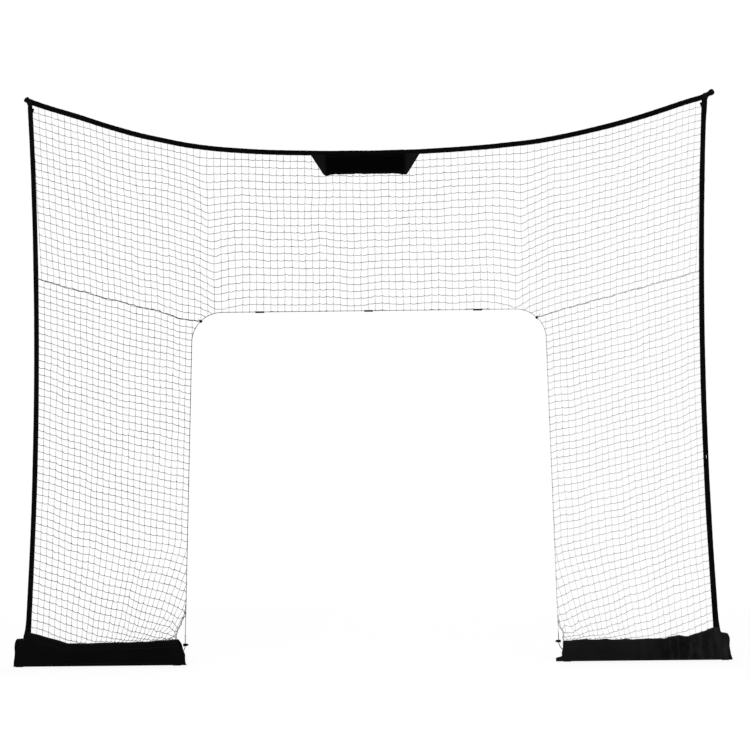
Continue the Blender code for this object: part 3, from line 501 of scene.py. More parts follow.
class Finish(Nodes):
    """A material with one Principled shader and the nodes that drive it."""

    def __init__(self, name, **constants):
        self.material = bpy.data.materials.new(name)
        self.material.use_nodes = True
        super().__init__(self.material.node_tree)
        self.shader = self.tree.nodes["Principled BSDF"]
        for socket, value in constants.items():
            self.shader.inputs[socket.replace("_", " ")].default_value = value

    def place(self, kind="Object"):
        return self.node("ShaderNodeTexCoord", output={"UV": 2, "Object": 3}[kind])

    def scaled(self, vector, *scale):
        return self.node("ShaderNodeVectorMath", {"operation": "MULTIPLY"}, {0: vector, 1: scale})

    def part(self, vector, axis):
        return self.node("ShaderNodeSeparateXYZ", inputs={0: vector}, output="XYZ".index(axis))

    def noise(self, vector, scale, detail, roughness=0.5):
        inputs = {"Vector": vector, "Scale": scale, "Detail": detail, "Roughness": roughness}
        return self.node("ShaderNodeTexNoise", inputs=inputs)

    def between(self, value, low, high):
        """Zero below low, one above high."""
        inputs = {"Value": value, "From Min": low, "From Max": high}
        return self.node("ShaderNodeMapRange", {"interpolation_type": "SMOOTHSTEP"}, inputs)

    def colours(self, factor, first, second):
        """A colour between two, as the factor goes from 0 to 1."""
        inputs = {0: factor}
        for key, colour in ((6, first), (7, second)):
            inputs[key] = colour if isinstance(colour, Value) else (*colour, 1.0)
        return self.node("ShaderNodeMix", {"data_type": "RGBA"}, inputs, output=2)

    def shades(self, level, colour, dark, pale):
        """A colour that goes from a darker to a paler shade of itself."""
        return self.colours(level, shade(colour, dark), shade(colour, pale))

    def finish(self, colour, roughness, height, depth):
        bump = self.node("ShaderNodeBump", inputs={"Height": height, "Distance": depth, "Strength": 1.0})
        for socket, value in (("Base Color", colour), ("Roughness", roughness), ("Normal", bump)):
            self.feed(self.shader.inputs[socket], value)
        return self.material


def shade(colour, factor):
    return tuple(c * factor for c in colour)


def twisted_cord(name, colour, pitch, strands, depth, painted_lit_colour=None):
    """Laid or braided cord: winding strands with fuzz and uneven dye. Its lower right may be painted paler,
    as painted light from the right.
    """
    made = Finish(name, Specular_IOR_Level=0.12, Sheen_Weight=0.04, Sheen_Roughness=0.6)
    layout, where = made.place("UV"), made.place()
    run, round_it = made.part(layout, "X"), made.part(layout, "Y")
    twist = (run * (2 * math.pi / pitch) + round_it * (2 * math.pi * strands)).math("SINE")
    fuzz = made.noise(made.scaled(layout, 900.0, 12.0, 1.0), 1.0, 3.0)
    dye = made.noise(where, 7.0, 3.0)
    level = (made.between(dye, 0.3, 0.75) * 0.6 + (twist * 0.5 + 0.5) * 0.4).limited()
    colour_out = made.shades(level, colour, 0.65, 1.5)
    # Painted light: the cord is painted paler towards its lower right, as if lit from the right
    if painted_lit_colour:
        painted_lit_side = made.between(made.part(where, "X") - 0.5 * made.part(where, "Z"), -1.9, 1.7)
        colour_out = made.colours(painted_lit_side, colour_out, made.shades(level, painted_lit_colour, 0.8, 1.25))
    return made.finish(colour_out, 0.66 + 0.22 * fuzz, twist * 0.6 + fuzz * 0.4, depth)


def woven_cloth(name, colour, pitch, depth, gloss=0.02, rib=False, dark_half=0.0, painted_lit_colour=None):
    """Plain or ribbed weave, soiled. Its middle may be darker, and its right end painted paler as painted
    light from the right, with pale streaks painted as highlights.
    """
    made = Finish(name, Specular_IOR_Level=gloss, Sheen_Weight=0.008, Sheen_Roughness=0.45)
    layout, where = made.place("UV"), made.place()
    across, up = made.part(layout, "X"), made.part(layout, "Y")
    turn = 2 * math.pi / pitch
    warp, weft = (across * turn).math("SINE"), (up * (turn * (0.45 if rib else 1.0))).math("SINE")
    weave = warp * 0.75 + weft * 0.25 if rib else warp * weft
    cloudy = made.noise(where, 5.0, 5.0)
    slub = made.noise(made.scaled(layout, 60.0, 900.0, 1.0), 1.0, 2.0)
    level = made.between(cloudy, 0.32, 0.7) * 0.55 + slub * 0.25 + (weave * 0.5 + 0.5) * 0.2
    colour_out = made.shades(level.limited(), colour, 0.55, 1.6)
    if painted_lit_colour:
        # Painted light: the right end is painted paler as if lit from the right, and pale noise streaks at
        # its outer part are painted highlights that stand for lit creases
        painted_highlights = made.between(made.noise(made.scaled(layout, 34.0, 8.0, 1.0), 1.0, 3.0), 0.42, 0.72)
        outer = made.between(made.part(where, "X"), 1.30, 1.62)
        painted_lit_tone = level * 0.45 + 0.12 + (painted_highlights * 0.75 - 0.22) * outer
        painted_lit_side = made.between(made.part(where, "X"), -1.2, 1.2)
        colour_out = made.colours(painted_lit_side, colour_out, made.shades(painted_lit_tone.limited(), painted_lit_colour, 0.5, 2.3))
    if dark_half:
        middle = 1.0 - made.between(across.math("ABSOLUTE"), dark_half - 0.02, dark_half + 0.006)
        colour_out = made.colours(middle * 0.9, colour_out, shade(colour, 0.06))
    roughness = 0.6 + 0.2 * slub - 0.1 * made.between(cloudy, 0.5, 0.8)
    return made.finish(colour_out, roughness, weave * 0.7 + slub * 0.3, depth)


def coated_steel(name, colour):
    """Powder coat: fine orange peel, scuffs and dust in the low places."""
    made = Finish(name, Coat_Roughness=0.35, Specular_IOR_Level=0.5)
    where = made.place()
    peel = made.noise(where, 900.0, 2.0)
    scuff = made.between(made.noise(made.scaled(where, 30.0, 160.0, 160.0), 1.0, 6.0, 0.65), 0.62, 0.74)
    dust = made.between(made.noise(where, 14.0, 5.0), 0.5, 0.72)
    colour_out = made.colours(dust * 0.35, colour, (0.09, 0.085, 0.078))
    colour_out = made.colours(scuff * 0.5, colour_out, (0.16, 0.16, 0.165))
    return made.finish(colour_out, 0.34 + 0.2 * dust + 0.15 * scuff, peel * 0.7 + scuff * -0.5, 0.00025)


def plated_zinc(name, colour):
    """Bright zinc plate with soft spangle and dull patches."""
    made = Finish(name, Metallic=1.0)
    where = made.place()
    spangle = made.noise(where, 420.0, 3.0)
    dull = made.between(made.noise(where, 60.0, 4.0), 0.42, 0.7)
    colour_out = made.colours(dull * 0.6, colour, shade(colour, 0.6))
    return made.finish(colour_out, 0.24 + 0.28 * dull + 0.08 * spangle, spangle, 0.0001)


def pultruded_rod(name, colour):
    """Glass fibre rod: long fine fibres under a thin gloss."""
    made = Finish(name, Coat_Weight=0.3, Coat_Roughness=0.15)
    fibres = made.noise(made.scaled(made.place(), 1200.0, 1200.0, 9.0), 1.0, 3.0)
    return made.finish(made.shades(fibres, colour, 0.6, 1.7), 0.3 + 0.2 * fibres, fibres, 0.0001)


def moulded(name, colour, grain, rough, dusty):
    """Moulded rubber or plastic: spark-eroded grain, and dust that settles on it."""
    made = Finish(name, Specular_IOR_Level=0.03)
    where = made.place()
    fine = made.noise(where, grain, 3.0)
    dust = made.between(made.noise(where, 22.0, 5.0, 0.6), 0.48, 0.75)
    colour_out = made.colours(dust * dusty, colour, (0.03, 0.029, 0.027))
    return made.finish(colour_out, rough + 0.14 * dust + 0.08 * fine, fine, 0.0002)


# What a user may change


def length_property(name, description, default):
    return bpy.props.FloatProperty(name=name, description=description, default=default, unit="LENGTH")


def colour_property(name, description, *default):
    return bpy.props.FloatVectorProperty(
        name=name, description=description, default=default, size=3, min=0.0, max=1.0, subtype="COLOR"
    )


class BackstopNetSizes(bpy.types.PropertyGroup):
    """Sizes of the twine, cords and cloth."""

    row_twine: length_property("Cross twine", "Diameter of the slack twine that runs across", 0.0027)
    column_twine: length_property("Upright twine", "Diameter of the taut twine that runs up", 0.0016)
    knot_length: length_property("Knot length", "Length of a knot along the row", 0.0074)
    border_cord: length_property("Border cord", "Diameter of the cord round the opening", 0.0038)
    lacing_cord: length_property("Lacing cord", "Diameter of the cord that laces the seams", 0.0040)
    bungee: length_property("Bungee", "Diameter of the elastic cord at each inner foot", 0.004)
    stitch_pitch: length_property("Stitch pitch", "Distance from one stitch to the next", 0.0066)
    cloth: length_property("Cloth thickness", "Thickness of the cloth of the covers", 0.0018)
    crease: length_property("Crease depth", "How far the meshes hang down in the creases", 0.056)
    slack: length_property("Slack", "How unevenly the meshes hang", 0.0062)


class BackstopNetColours(bpy.types.PropertyGroup):
    """Colours of the finishes."""

    twine: colour_property("Twine", "Colour of the net's twine", 0.016, 0.016, 0.017)
    # Painted light: the lower right of the twine and of the border cord is painted in the paler colours here,
    # as if lit from the right
    painted_lit_twine: colour_property("Twine in painted light", "Colour painted on the twine's lower right as light", 0.27, 0.27, 0.27)
    rope: colour_property("Border cord", "Colour of the border cord and the seam lacing", 0.06, 0.06, 0.06)
    painted_lit_rope: colour_property("Border cord in painted light", "Colour painted on these cords' lower right as light", 0.5, 0.5, 0.5)
    cloth: colour_property("Cloth", "Colour of the covers", 0.0012, 0.0012, 0.0013)
    # Painted light: the right cover is painted in this paler colour, as if lit from the right
    painted_lit_cloth: colour_property("Cloth in painted light", "Colour painted on the right cover as light", 0.0046, 0.0046, 0.0046)
    panel: colour_property("Panel", "Colour of the centre panel", 0.0045, 0.0045, 0.0047)
    webbing: colour_property("Webbing", "Colour of the top band, sleeves and straps", 0.0010, 0.0010, 0.0011)
    thread: colour_property("Thread", "Colour of the stitches", 0.0030, 0.0030, 0.0032)
    steel: colour_property("Coated steel", "Colour of the powder coat", 0.014, 0.014, 0.015)
    zinc: colour_property("Zinc", "Colour of the plated parts", 0.62, 0.63, 0.65)
    rod: colour_property("Pole", "Colour of the glass fibre poles", 0.020, 0.021, 0.022)
    rubber: colour_property("Rubber", "Colour of the feet and tip knobs", 0.0016, 0.0016, 0.0016)
    plastic: colour_property("Plastic", "Colour of the fittings and cord locks", 0.0012, 0.0012, 0.0013)


class BackstopNetStage(bpy.types.PropertyGroup):
    """Light and floor of the studio."""

    sky: bpy.props.FloatProperty(
        name="Sky", description="Strength of the even light all round", default=0.62, min=0.0
    )
    key: bpy.props.FloatProperty(
        name="Key light", description="Power of the large soft lamp in front", default=330.0, unit="POWER"
    )
    fill: bpy.props.FloatProperty(
        name="Fill light", description="Power of the soft lamps aside and behind", default=150.0, unit="POWER"
    )
    whiteness: bpy.props.FloatProperty(
        name="Whiteness", description="How white the floor is by the object", default=0.86, min=0.0, max=1.0
    )
    floor: colour_property("Floor", "Colour of the floor", 0.90, 0.90, 0.90)


FINISHES = {}


def finish_of(name):
    """The shared material of that name, made when it is first asked for."""
    if name not in FINISHES:
        c = bpy.context.scene.backstop_net_colours
        makers = {
            # Painted light: twine and border cord get a paler colour painted on their lower right, and the
            # cover cloth on its right end
            "twine": lambda: twisted_cord("twine", c.twine[:], 0.004, 2, 0.0003, c.painted_lit_twine[:]),
            "rope": lambda: twisted_cord("border_rope", c.rope[:], 0.02, 3, 0.0002, c.painted_lit_rope[:]),
            "elastic": lambda: twisted_cord("elastic_cord", shade(c.twine, 0.8), 0.006, 8, 0.0003),
            "thread": lambda: twisted_cord("sewing_thread", c.thread[:], 0.0015, 2, 0.0001),
            "cloth": lambda: woven_cloth("cover_cloth", c.cloth[:], 0.0011, 0.00012, painted_lit_colour=c.painted_lit_cloth[:]),
            "sleeve": lambda: woven_cloth("sleeve_cloth", c.webbing[:], 0.0013, 0.00012, 0.015),
            "panel": lambda: woven_cloth("panel_cloth", c.panel[:], 0.0011, 0.00012, 0.002, dark_half=0.232),
            "webbing": lambda: woven_cloth("webbing", c.webbing[:], 0.0022, 0.0003, 0.015, rib=True),
            "steel": lambda: coated_steel("powder_coated_steel", c.steel[:]),
            "zinc": lambda: plated_zinc("zinc_plate", c.zinc[:]),
            "rod": lambda: pultruded_rod("glass_fibre_rod", c.rod[:]),
            "rubber": lambda: moulded("moulded_rubber", c.rubber[:], 700.0, 0.68, 0.12),
            "plastic": lambda: moulded("moulded_plastic", c.plastic[:], 1100.0, 0.52, 0.06),
        }
        FINISHES[name] = makers[name]()
    return FINISHES[name]


# The knotted net

# The upper net spreads a little upwards. Its meshes lie closer together beside the opening than above it
UPPER_COLUMNS = 100
UPPER_ROWS = 24
UPPER_STATIONS = (0, 24, 50)
LOW_STATIONS = (0.0, 0.920, 1.8055)
HIGH_STATIONS = (0.0, 0.945, 1.9107)
MIDDLE_LOW_V = 1.785
SIDE_COLUMNS = {"left": 25, "right": 24}
# Meshes beyond the border cord, which come out from under it where the columns lean
SPARE_COLUMNS = 6
SIDE_LEAN = {"left": 0.37, "right": 0.23}
# How far the inner edge of a side net leaves the border cord above the cover, and from how high
EDGE_AWAY = {"left": (0.047, 0.275), "right": (0.022, 0.200)}
SIDE_DROP = {"left": 0.215, "right": 0.222}
SIDE_ROWS = 50
ROW_PITCH = 0.0382
ROW_SAG = 0.0034
KNOT_HEIGHT = 0.0050
SEAM_GAP = 0.0013


def crease_shift(x, t, depth):
    """How far the slack meshes are drawn down along the crease above each corner of the opening."""
    middle = np.where(x > 0, ease(t, 0.800, 0.890), ease(t, 0.812, 0.935))
    away = np.abs(x) - middle
    drop = depth * 0.5 * (np.exp(-np.abs(away) / 0.055) + hill(away, 0, np.where(away < 0, 0.150, 0.085)))
    near_seam = 1 - smoothstep(0.85, 0.96, np.abs(x)) * (1 - smoothstep(0.0, 0.16, t))
    return drop * near_seam * (1.18 - 0.55 * t) * (1 - t**7)


def loosened(x, v, loose, steps, seed, apart):
    """Knots moved unevenly: in long waves, in short ones and each on its own."""
    a, b, c, d, e = (patchy(v.shape, *step, seed + apart * k) for k, step in enumerate(steps))
    return x + loose * (0.8 * d + 0.34 * e), v + loose * (a + 0.8 * b + 0.32 * c)


def upper_knots(slack, crease):
    """Knots of the upper net in its own plane, from the seams and a row hidden below the crossbar upwards."""
    i = np.arange(UPPER_COLUMNS + 1)
    t = (np.arange(UPPER_ROWS + 1) / UPPER_ROWS)[:, None]
    from_middle = i - UPPER_COLUMNS / 2
    low, high = (np.interp(np.abs(from_middle), UPPER_STATIONS, xs) for xs in (LOW_STATIONS, HIGH_STATIONS))
    x = np.sign(from_middle) * ease(t, low, high)
    low_x = np.abs(x[0])
    low_v = ease(smoothstep(0.45, 1.0, low_x / SEAM_IN[0]), MIDDLE_LOW_V, SEAM_IN[1] + SEAM_GAP)
    low_v = np.where(low_x >= SEAM_IN[0], seam_v(x[0]) + SEAM_GAP, low_v)
    v = ease(t, low_v, top_v(x[-1]) - BAND_HALF + 0.003)
    edge = np.clip((net_side_x(v) - np.abs(x)) / 0.10, 0.0, 1.0)
    free = np.sin(math.pi * np.clip(t, 0, 1)) ** 0.5 * edge
    v = v - crease_shift(x, t, crease) * edge
    hump = np.cos(2 * math.pi * (x - 0.05) / 0.30) * hill(x, 0.05, 0.34)
    v = v + 0.011 * hump * (1 - t) ** 2
    x, v = loosened(x, v, free * slack, ((6, 2.4), (9, 7), (1, 1), (5, 3), (1, 1)), 11, 1)
    depth = 0.006 * np.sin(math.pi * t) * np.sin(math.pi * i / UPPER_COLUMNS) * smoothstep(0.0, 0.2, 1 - t)
    depth = depth + 0.0006 * patchy(v.shape, 1, 1, 16) * free
    return together(x, depth, v)


def side_knots(word, side, slack):
    """Knots of a side net in its own plane: rows slope down to the opening, and bunch on the cover."""
    j = np.arange(SIDE_ROWS + 1)[:, None]
    s = (np.arange(-SPARE_COLUMNS, SIDE_COLUMNS[word] + 1) / SIDE_COLUMNS[word])[None]
    inside = np.clip(s, 0, 1)
    drop = ease(j / SIDE_ROWS, SEAM_SLOPE * (SEAM_OUT_X - CORD_X), SIDE_DROP[word])
    out_v = SEAM_OUT_V - SEAM_GAP - j * ROW_PITCH
    v = ease(s, out_v - drop, out_v)
    x = ease(s, CORD_X, net_side_x(out_v))
    # The top row lies along the seam, and those below it less and less
    straight = SEAM_IN[1] + SEAM_SLOPE * (x - SEAM_IN[0])
    v = v + (seam_v(side * x) - straight) * (1 - smoothstep(0, 6, j))
    sunk = np.clip(j / 8.0, 0, 1)
    v = v - 0.016 * np.sin(math.pi * inside) * sunk
    edge = np.minimum(1.0, (1 - s) * 8)
    seed = 40 + side
    x, v = loosened(x, v, edge * sunk * slack, ((7, 2.4), (6, 6), (1, 1), (5, 4), (1, 1)), seed, 5)
    # Low down the columns lean outwards to the cover, and the meshes bunch up
    below = np.maximum(0.62 - v, 0.0)
    x = x + SIDE_LEAN[word] * below * (below / (below + 0.06)) * np.clip(1 - s, 0, 1.3) ** 1.8
    inner = np.exp(-np.maximum(x - CORD_X - 0.03, 0) / 0.12)
    v = v - 0.030 * inner * hill(v, 0.26, 0.11) * edge
    tangle = np.exp(-np.maximum(v - 0.16, 0) / 0.07) * inner * edge * (1.0 if side < 0 else 0.8)
    x = x + 0.020 * tangle * patchy(v.shape, 1, 1, seed + 25)
    v = v + 0.022 * tangle * patchy(v.shape, 1, 1, seed + 30)
    floor = ridge_z(side * x) / math.cos(LEAN) - 0.002
    length = ease(np.clip((1 - s) * 1.25, 0, 1) ** 1.4, 0.004, 0.026)
    height = (v - floor) / length
    v = floor + length * np.where(height > 12, height, np.log1p(np.exp(np.minimum(height, 12.0))))
    x[:, -1] = net_side_x(v[:, -1])
    depth = 0.004 * np.sin(math.pi * inside) * np.sin(math.pi * j / SIDE_ROWS)
    depth = depth + (0.0006 * edge + 0.004 * tangle) * patchy(v.shape, 1, 1, seed + 35)
    return together(side * x, depth, v)


def strands(knots, sag, parts, seed):
    """Lines through the knots of each row of a grid, with slack points between them."""
    rows, columns = knots.shape[:2]
    share = np.arange(parts) / parts
    rng = np.random.default_rng(seed)
    loose = sag * rng.uniform(0.4, 1.5, (rows, columns - 1, 1))
    step = sag * 0.5 * rng.uniform(-1, 1, (rows, columns - 1, 1))
    line = ease(share[:, None], knots[:, :-1, None], knots[:, 1:, None])
    line[..., 2] += step * np.sin(2 * math.pi * share) - loose * 4 * share * (1 - share)
    return np.concatenate([line.reshape(rows, -1, 3), knots[:, -1:]], axis=1)


def clipped(line, field):
    """The runs of a line where a field is above zero, and which of their ends are cut off."""
    value = field(line)

    def crossing(last, beyond):
        return ease(value[last] / (value[last] - value[beyond]), line[last], line[beyond])

    inside = np.pad(value > 0, 1)
    change = np.flatnonzero(inside[1:] != inside[:-1])
    runs = []
    for start, stop in zip(change[::2], change[1::2]):
        run, cuts = [*line[start:stop]], (start > 0, stop < len(line))
        if cuts[0]:
            run.insert(0, crossing(start, start - 1))
        if cuts[1]:
            run.append(crossing(stop - 1, stop))
        if len(run) > 2:
            runs.append((np.array(run), cuts))
    return runs


LUMP = [
    (-1.0, 0.0, 0.0), (-0.55, 0.62, 0.35), (-0.5, -0.45, 0.75), (-0.5, -0.6, -0.5), (-0.55, 0.4, -0.75),
    (0.5, 0.5, 0.7), (0.55, -0.7, 0.3), (0.5, -0.35, -0.8), (0.5, 0.75, -0.3), (1.0, 0.0, 0.0),
]
LUMP_FACES = [
    (0, 2, 1), (0, 3, 2), (0, 4, 3), (0, 1, 4), (1, 2, 5), (2, 6, 5), (2, 3, 6), (3, 7, 6),
    (3, 4, 7), (4, 8, 7), (4, 1, 8), (1, 5, 8), (9, 5, 6), (9, 6, 7), (9, 7, 8), (9, 8, 5),
]


def add_lumps(shape, places, ways, length, height, seed, slot=0):
    """Tied lumps at the places, drawn out along the ways."""
    rng = np.random.default_rng(seed)
    count = len(places)
    size = rng.uniform(0.85, 1.15, (count, 1, 3)) * (length / 2, height * 0.45, height / 2)
    tilt = rng.uniform(-0.5, 0.5, (count, 1))
    along_it = unit(ways * np.cos(tilt) + unit(np.cross(ways, BEHIND)) * np.sin(tilt))
    across = unit(np.cross(along_it, BEHIND))
    axes = np.stack([along_it, np.broadcast_to(BEHIND, across.shape), across], axis=1)
    faces = np.array(LUMP_FACES) + len(LUMP) * np.arange(count)[:, None, None]
    shape.add(places[:, None] + (LUMP * size) @ axes, faces.reshape(-1, 3), slot=slot)


def net_piece(knots, field, keep_columns, sizes, seed):
    """All the twine of a panel: rows, columns and knots, cut where the panel ends, and the cut ends."""
    shape, ends = Shape(), []
    # Grid, sag, parts from knot to knot, radius, sides and how many of its lines are kept
    grids = (
        (knots, ROW_SAG, 3, sizes.row_twine / 2, 5, len(knots)),
        (np.swapaxes(knots, 0, 1), 0.0, 2, sizes.column_twine / 2, 4, keep_columns),
    )
    for grid, sag, parts, radius, sides, kept in grids:
        lines = strands(grid, sag, parts, seed)
        if not sag:
            lines[..., 0] += np.random.default_rng(seed + 1).uniform(-0.0006, 0.0006, lines.shape[:2])
        for line in lines[:kept]:
            for run, cuts in clipped(line, field):
                # Taut stretches of twine are thinner than slack ones
                uneven = 1 + 0.24 * ripple(run[:, 0], run[:, 2] * 3, 0.07, seed + 9)
                if not sag:
                    uneven = uneven * (1 - 0.30 * smoothstep(-0.6, 1.2, run[:, 0]))
                shape.tube(lean(run), radius * uneven, sides)
                ends += [run[k] for k, cut in zip((0, -1), cuts) if cut]
    flat, way = knots.reshape(-1, 3), np.gradient(knots, axis=1).reshape(-1, 3)
    free = (field(flat) > 0.002) & (np.abs(flat[:, 0]) <= net_side_x(flat[:, 2]) - 0.004)
    add_lumps(shape, lean(flat[free]), unit(lean_way(way[free])), sizes.knot_length, KNOT_HEIGHT, seed)
    return shape, ends


# Straps under the crossbar's edge
STRAPS_X = {"left_crossbar": -0.600, "center_crossbar": 0.0, "right_crossbar": 0.600}
STRAP_WIDE = 0.048


def upper_field(points):
    x, v = points[..., 0], points[..., 2]
    # The twine ends short of the cord where a strap goes round it
    from_strap = np.min([np.abs(x - middle) for middle in STRAPS_X.values()], axis=0)
    short = np.where(from_strap < STRAP_WIDE / 2 + 0.002, 0.0062, 0.0012)
    return np.minimum(from_opening(x, v) - short, net_side_x(v) - np.abs(x))


def edge_away(x, v):
    """How far the inner edge of a side net stands off the border cord."""
    left, right = (reach * (1 - smoothstep(0.14, start, v)) for reach, start in EDGE_AWAY.values())
    return np.where(x < 0, left, right)


def side_field(points):
    x, v = points[..., 0], points[..., 2]
    above_cover = v - ridge_z(x) / math.cos(LEAN) - 0.0005
    below_seam = seam_v(x) - SEAM_GAP / 2 - v
    outside = from_opening(x, v) - 0.0012 - edge_away(x, v)
    return np.minimum(np.minimum(above_cover, outside), below_seam)


def on_border(point):
    """The nearest place in the middle of the border cord, and the way that the cord runs there."""
    across, up = abs(point[0]) - ARC_X, point[2] - ARC_V
    if up <= 0:
        return (math.copysign(CORD_X, point[0]), 0.0, point[2]), (0, 0, 1)
    if across <= 0:
        return (point[0], 0.0, CORD_TOP_V), (1, 0, 0)
    angle = math.atan2(up, across)
    x, v = ARC_X + CORD_ARC * math.cos(angle), ARC_V + CORD_ARC * math.sin(angle)
    return (math.copysign(x, point[0]), 0.0, v), (-math.sin(angle) * np.sign(point[0]), 0, math.cos(angle))


def build_net():
    sizes = bpy.context.scene.backstop_net_sizes
    knots = upper_knots(sizes.slack, sizes.crease)
    shape, ends = net_piece(knots, upper_field, UPPER_COLUMNS + 1, sizes, 101)
    place("upper_net_twine", shape, "twine", "upper_net", smooth=0)
    tied = [p for p in ends if from_opening(p[0], p[2]) < 0.005]
    for word, side in SIDES:
        knots = side_knots(word, side, sizes.slack)
        shape, ends = net_piece(knots, side_field, knots.shape[1] - 1, sizes, 120 + side)
        tied += [p for p in ends if from_opening(p[0], p[2]) < 0.006 and p[2] < seam_v(p[0]) - 0.004]
        # The gathered edge between the border cord and the inner corner of the cover
        start = EDGE_AWAY[word][1] + 0.03
        v = np.linspace(start, float(ridge_z(side * 1.01)) - 0.004, 90)
        for turn, wide in ((0.0, 0.0042), (2.4, 0.0034)):
            sway = wide * np.sin(2 * math.pi * v / 0.043 + turn) + 0.004 * ripple(v, 0, 0.05, 90 + side)
            x = CORD_X + 0.0022 + edge_away(side, v) + sway * smoothstep(0.0, 0.03, start - v)
            line = together(side * x, 0.003 * np.cos(2 * math.pi * v / 0.05 + turn), v)
            shape.tube(lean(line), sizes.row_twine * 0.62)
        place(word + "_side_net_twine", shape, "twine", word + "_side_net", smooth=0)
    lash = Shape()
    for p in tied:
        centre, way = on_border(p)
        way = lean_way(way)
        for offset in (-0.0011, 0.0011):
            lash.ring(lean(centre) + way * offset, way, sizes.border_cord / 2 + 0.0005, 0.0008, 9, 4)
        lash.tube(lean([centre, p]) + BEHIND * -0.0004, 0.0009, 4)
    place("border_lashings", lash, "twine", smooth=0)


# Cords along the edges of the net

LACE_PITCH = 0.0375
# Depth in the row frame of the foot of the border cord
CORD_FOOT_Y = NET_Y + math.sin(LEAN) * BORDER_BOTTOM_V


def opening_line():
    """The middle of the cord round the opening, up one side, across and down the other."""
    angle = np.linspace(0, math.pi / 2, 25)
    x = np.append(CORD_X, ARC_X + CORD_ARC * np.cos(angle))
    v = np.append(BORDER_BOTTOM_V, ARC_V + CORD_ARC * np.sin(angle))
    half = together(x, 0, v)
    return np.concatenate([half, half[::-1] * (-1, 1, 1)])


def build_cords():
    sizes = bpy.context.scene.backstop_net_sizes
    rope = Shape()
    line = lean(evenly(opening_line(), 0.0033))
    radius = sizes.border_cord / 2
    rope.tube(line, radius, 12, twist=(3, 0.024, 0.22))
    for end, other in ((line[0], line[6]), (line[-1], line[-7])):
        way = unit(other - end)
        for k in range(5):
            rope.ring(end + way * (0.003 + 0.0018 * k), way, radius + 0.0003, 0.0010, 12)
    place("border_cord", rope, "rope", "opening_border_cord")
    for word, side in SIDES:
        lacing = Shape()
        start, end = SEAM_IN[0] + 0.002, SEAM_OUT_X - 0.001
        x = np.linspace(start, end, 520)
        turn = 2 * math.pi * (x - start) / LACE_PITCH
        swing = 0.0006 + 0.0002 * ripple(x, 0, 0.2, 61 + side)
        wave = together(side * x, swing * np.sin(turn), seam_v(side * x) + swing * np.cos(turn))
        lacing.tube(lean(wave), sizes.lacing_cord / 2, 8, twist=(3, 0.012, 0.2))
        # Half hitches that take in the meshes of both nets
        for k in range(1, int((end - start) / LACE_PITCH)):
            at = int(LACE_PITCH * k / (end - start) * (len(x) - 1))
            way = unit(wave[at + 1] - wave[at - 1])
            lacing.ring(lean(wave[at]), lean_way(way), sizes.lacing_cord / 2 + 0.0006, 0.0008)
        place(word + "_seam_lace", lacing, "rope", word + "_seam_lacing")
        build_bungee(word, side, sizes.bungee)


def build_bungee(word, side, diameter):
    """Elastic cord from the border cord, through its lock, to the inner foot."""
    anchor = 0.9910
    path = [(CORD_X, 0.1382), (CORD_X, 0.112), (CORD_X, 0.089), (CORD_X + 0.006, 0.072)]
    path += [(anchor - 0.003, 0.056), (anchor, 0.0470)]
    line = evenly(rounded([(side * x, CORD_FOOT_Y, z) for x, z in path]), 0.0012)
    bungee = Shape()
    bungee.tube(line, diameter / 2, 14, up=(0, 1, 0), twist=(8, 0.009, 0.08))
    made = place(word + "_elastic", bungee, "elastic", word + "_bungee")


# Sewn bands

# Section of the binding in millimetres: height from its middle and half its thickness there
BINDING = (
    (2.5, 2.95), (6.5, 2.8), (9.6, 2.35), (10.6, 1.75), (11.6, 2.3), (12.9, 2.3), (14.0, 1.6), (14.3, 0.6),
)
# How far its two seams lie from its middle
BINDING_SEAM = 0.0106
# Half the width of a filled sleeve as it is seen from the front, and the width of its cloth laid flat
SLEEVE_HALF = {"left": 0.0134, "right": 0.0143}
SLEEVE_GIRTH = 0.066


def build_top_band():
    pitch = bpy.context.scene.backstop_net_sizes.stitch_pitch
    shape = Shape()
    x = np.linspace(-BAND_END_X + 0.0005, BAND_END_X - 0.0005, 860)
    v = top_v(x) + 0.0007 * ripple(x, 0, 0.25, 71) + 0.0003 * ripple(x, 0, 0.05, 72)
    middle = together(x, 0, v)
    up = unit(np.gradient(middle, axis=0))[:, ::-1] * (-1, 0, 1)
    half = np.array(BINDING) / 1000
    front = np.concatenate([-half[::-1], half * (1, -1)])
    profile = np.concatenate([front, front[::-1] * (1, -1)])
    edge = 0.00045 * ripple(x, 0, 0.035, 73)
    soft = 1 + 0.10 * ripple(x, 0, 0.045, 74)
    across = profile[:, 0] * (1.02 + 0.08 * (x[:, None] / BAND_END_X) ** 2)
    across = across + np.sign(across) * edge[:, None] * (np.abs(across) > 0.011)
    points = middle[:, None] + up[:, None] * across[..., None]
    points[..., 1] += profile[:, 1] * soft[:, None]
    girth = along(profile)
    shape.barrel(lean(points), together(along(middle)[:, None], np.append(girth, girth[-1] + 0.0012)))
    for offset in (-BINDING_SEAM, BINDING_SEAM):
        for face in (-1, 1):
            line = middle + up * offset + (0, face * 0.00195, 0)
            shape.stitches(lean(line), BEHIND * face, pitch=pitch, slot=1)
    place("top_binding", shape, "webbing thread", "top_band")


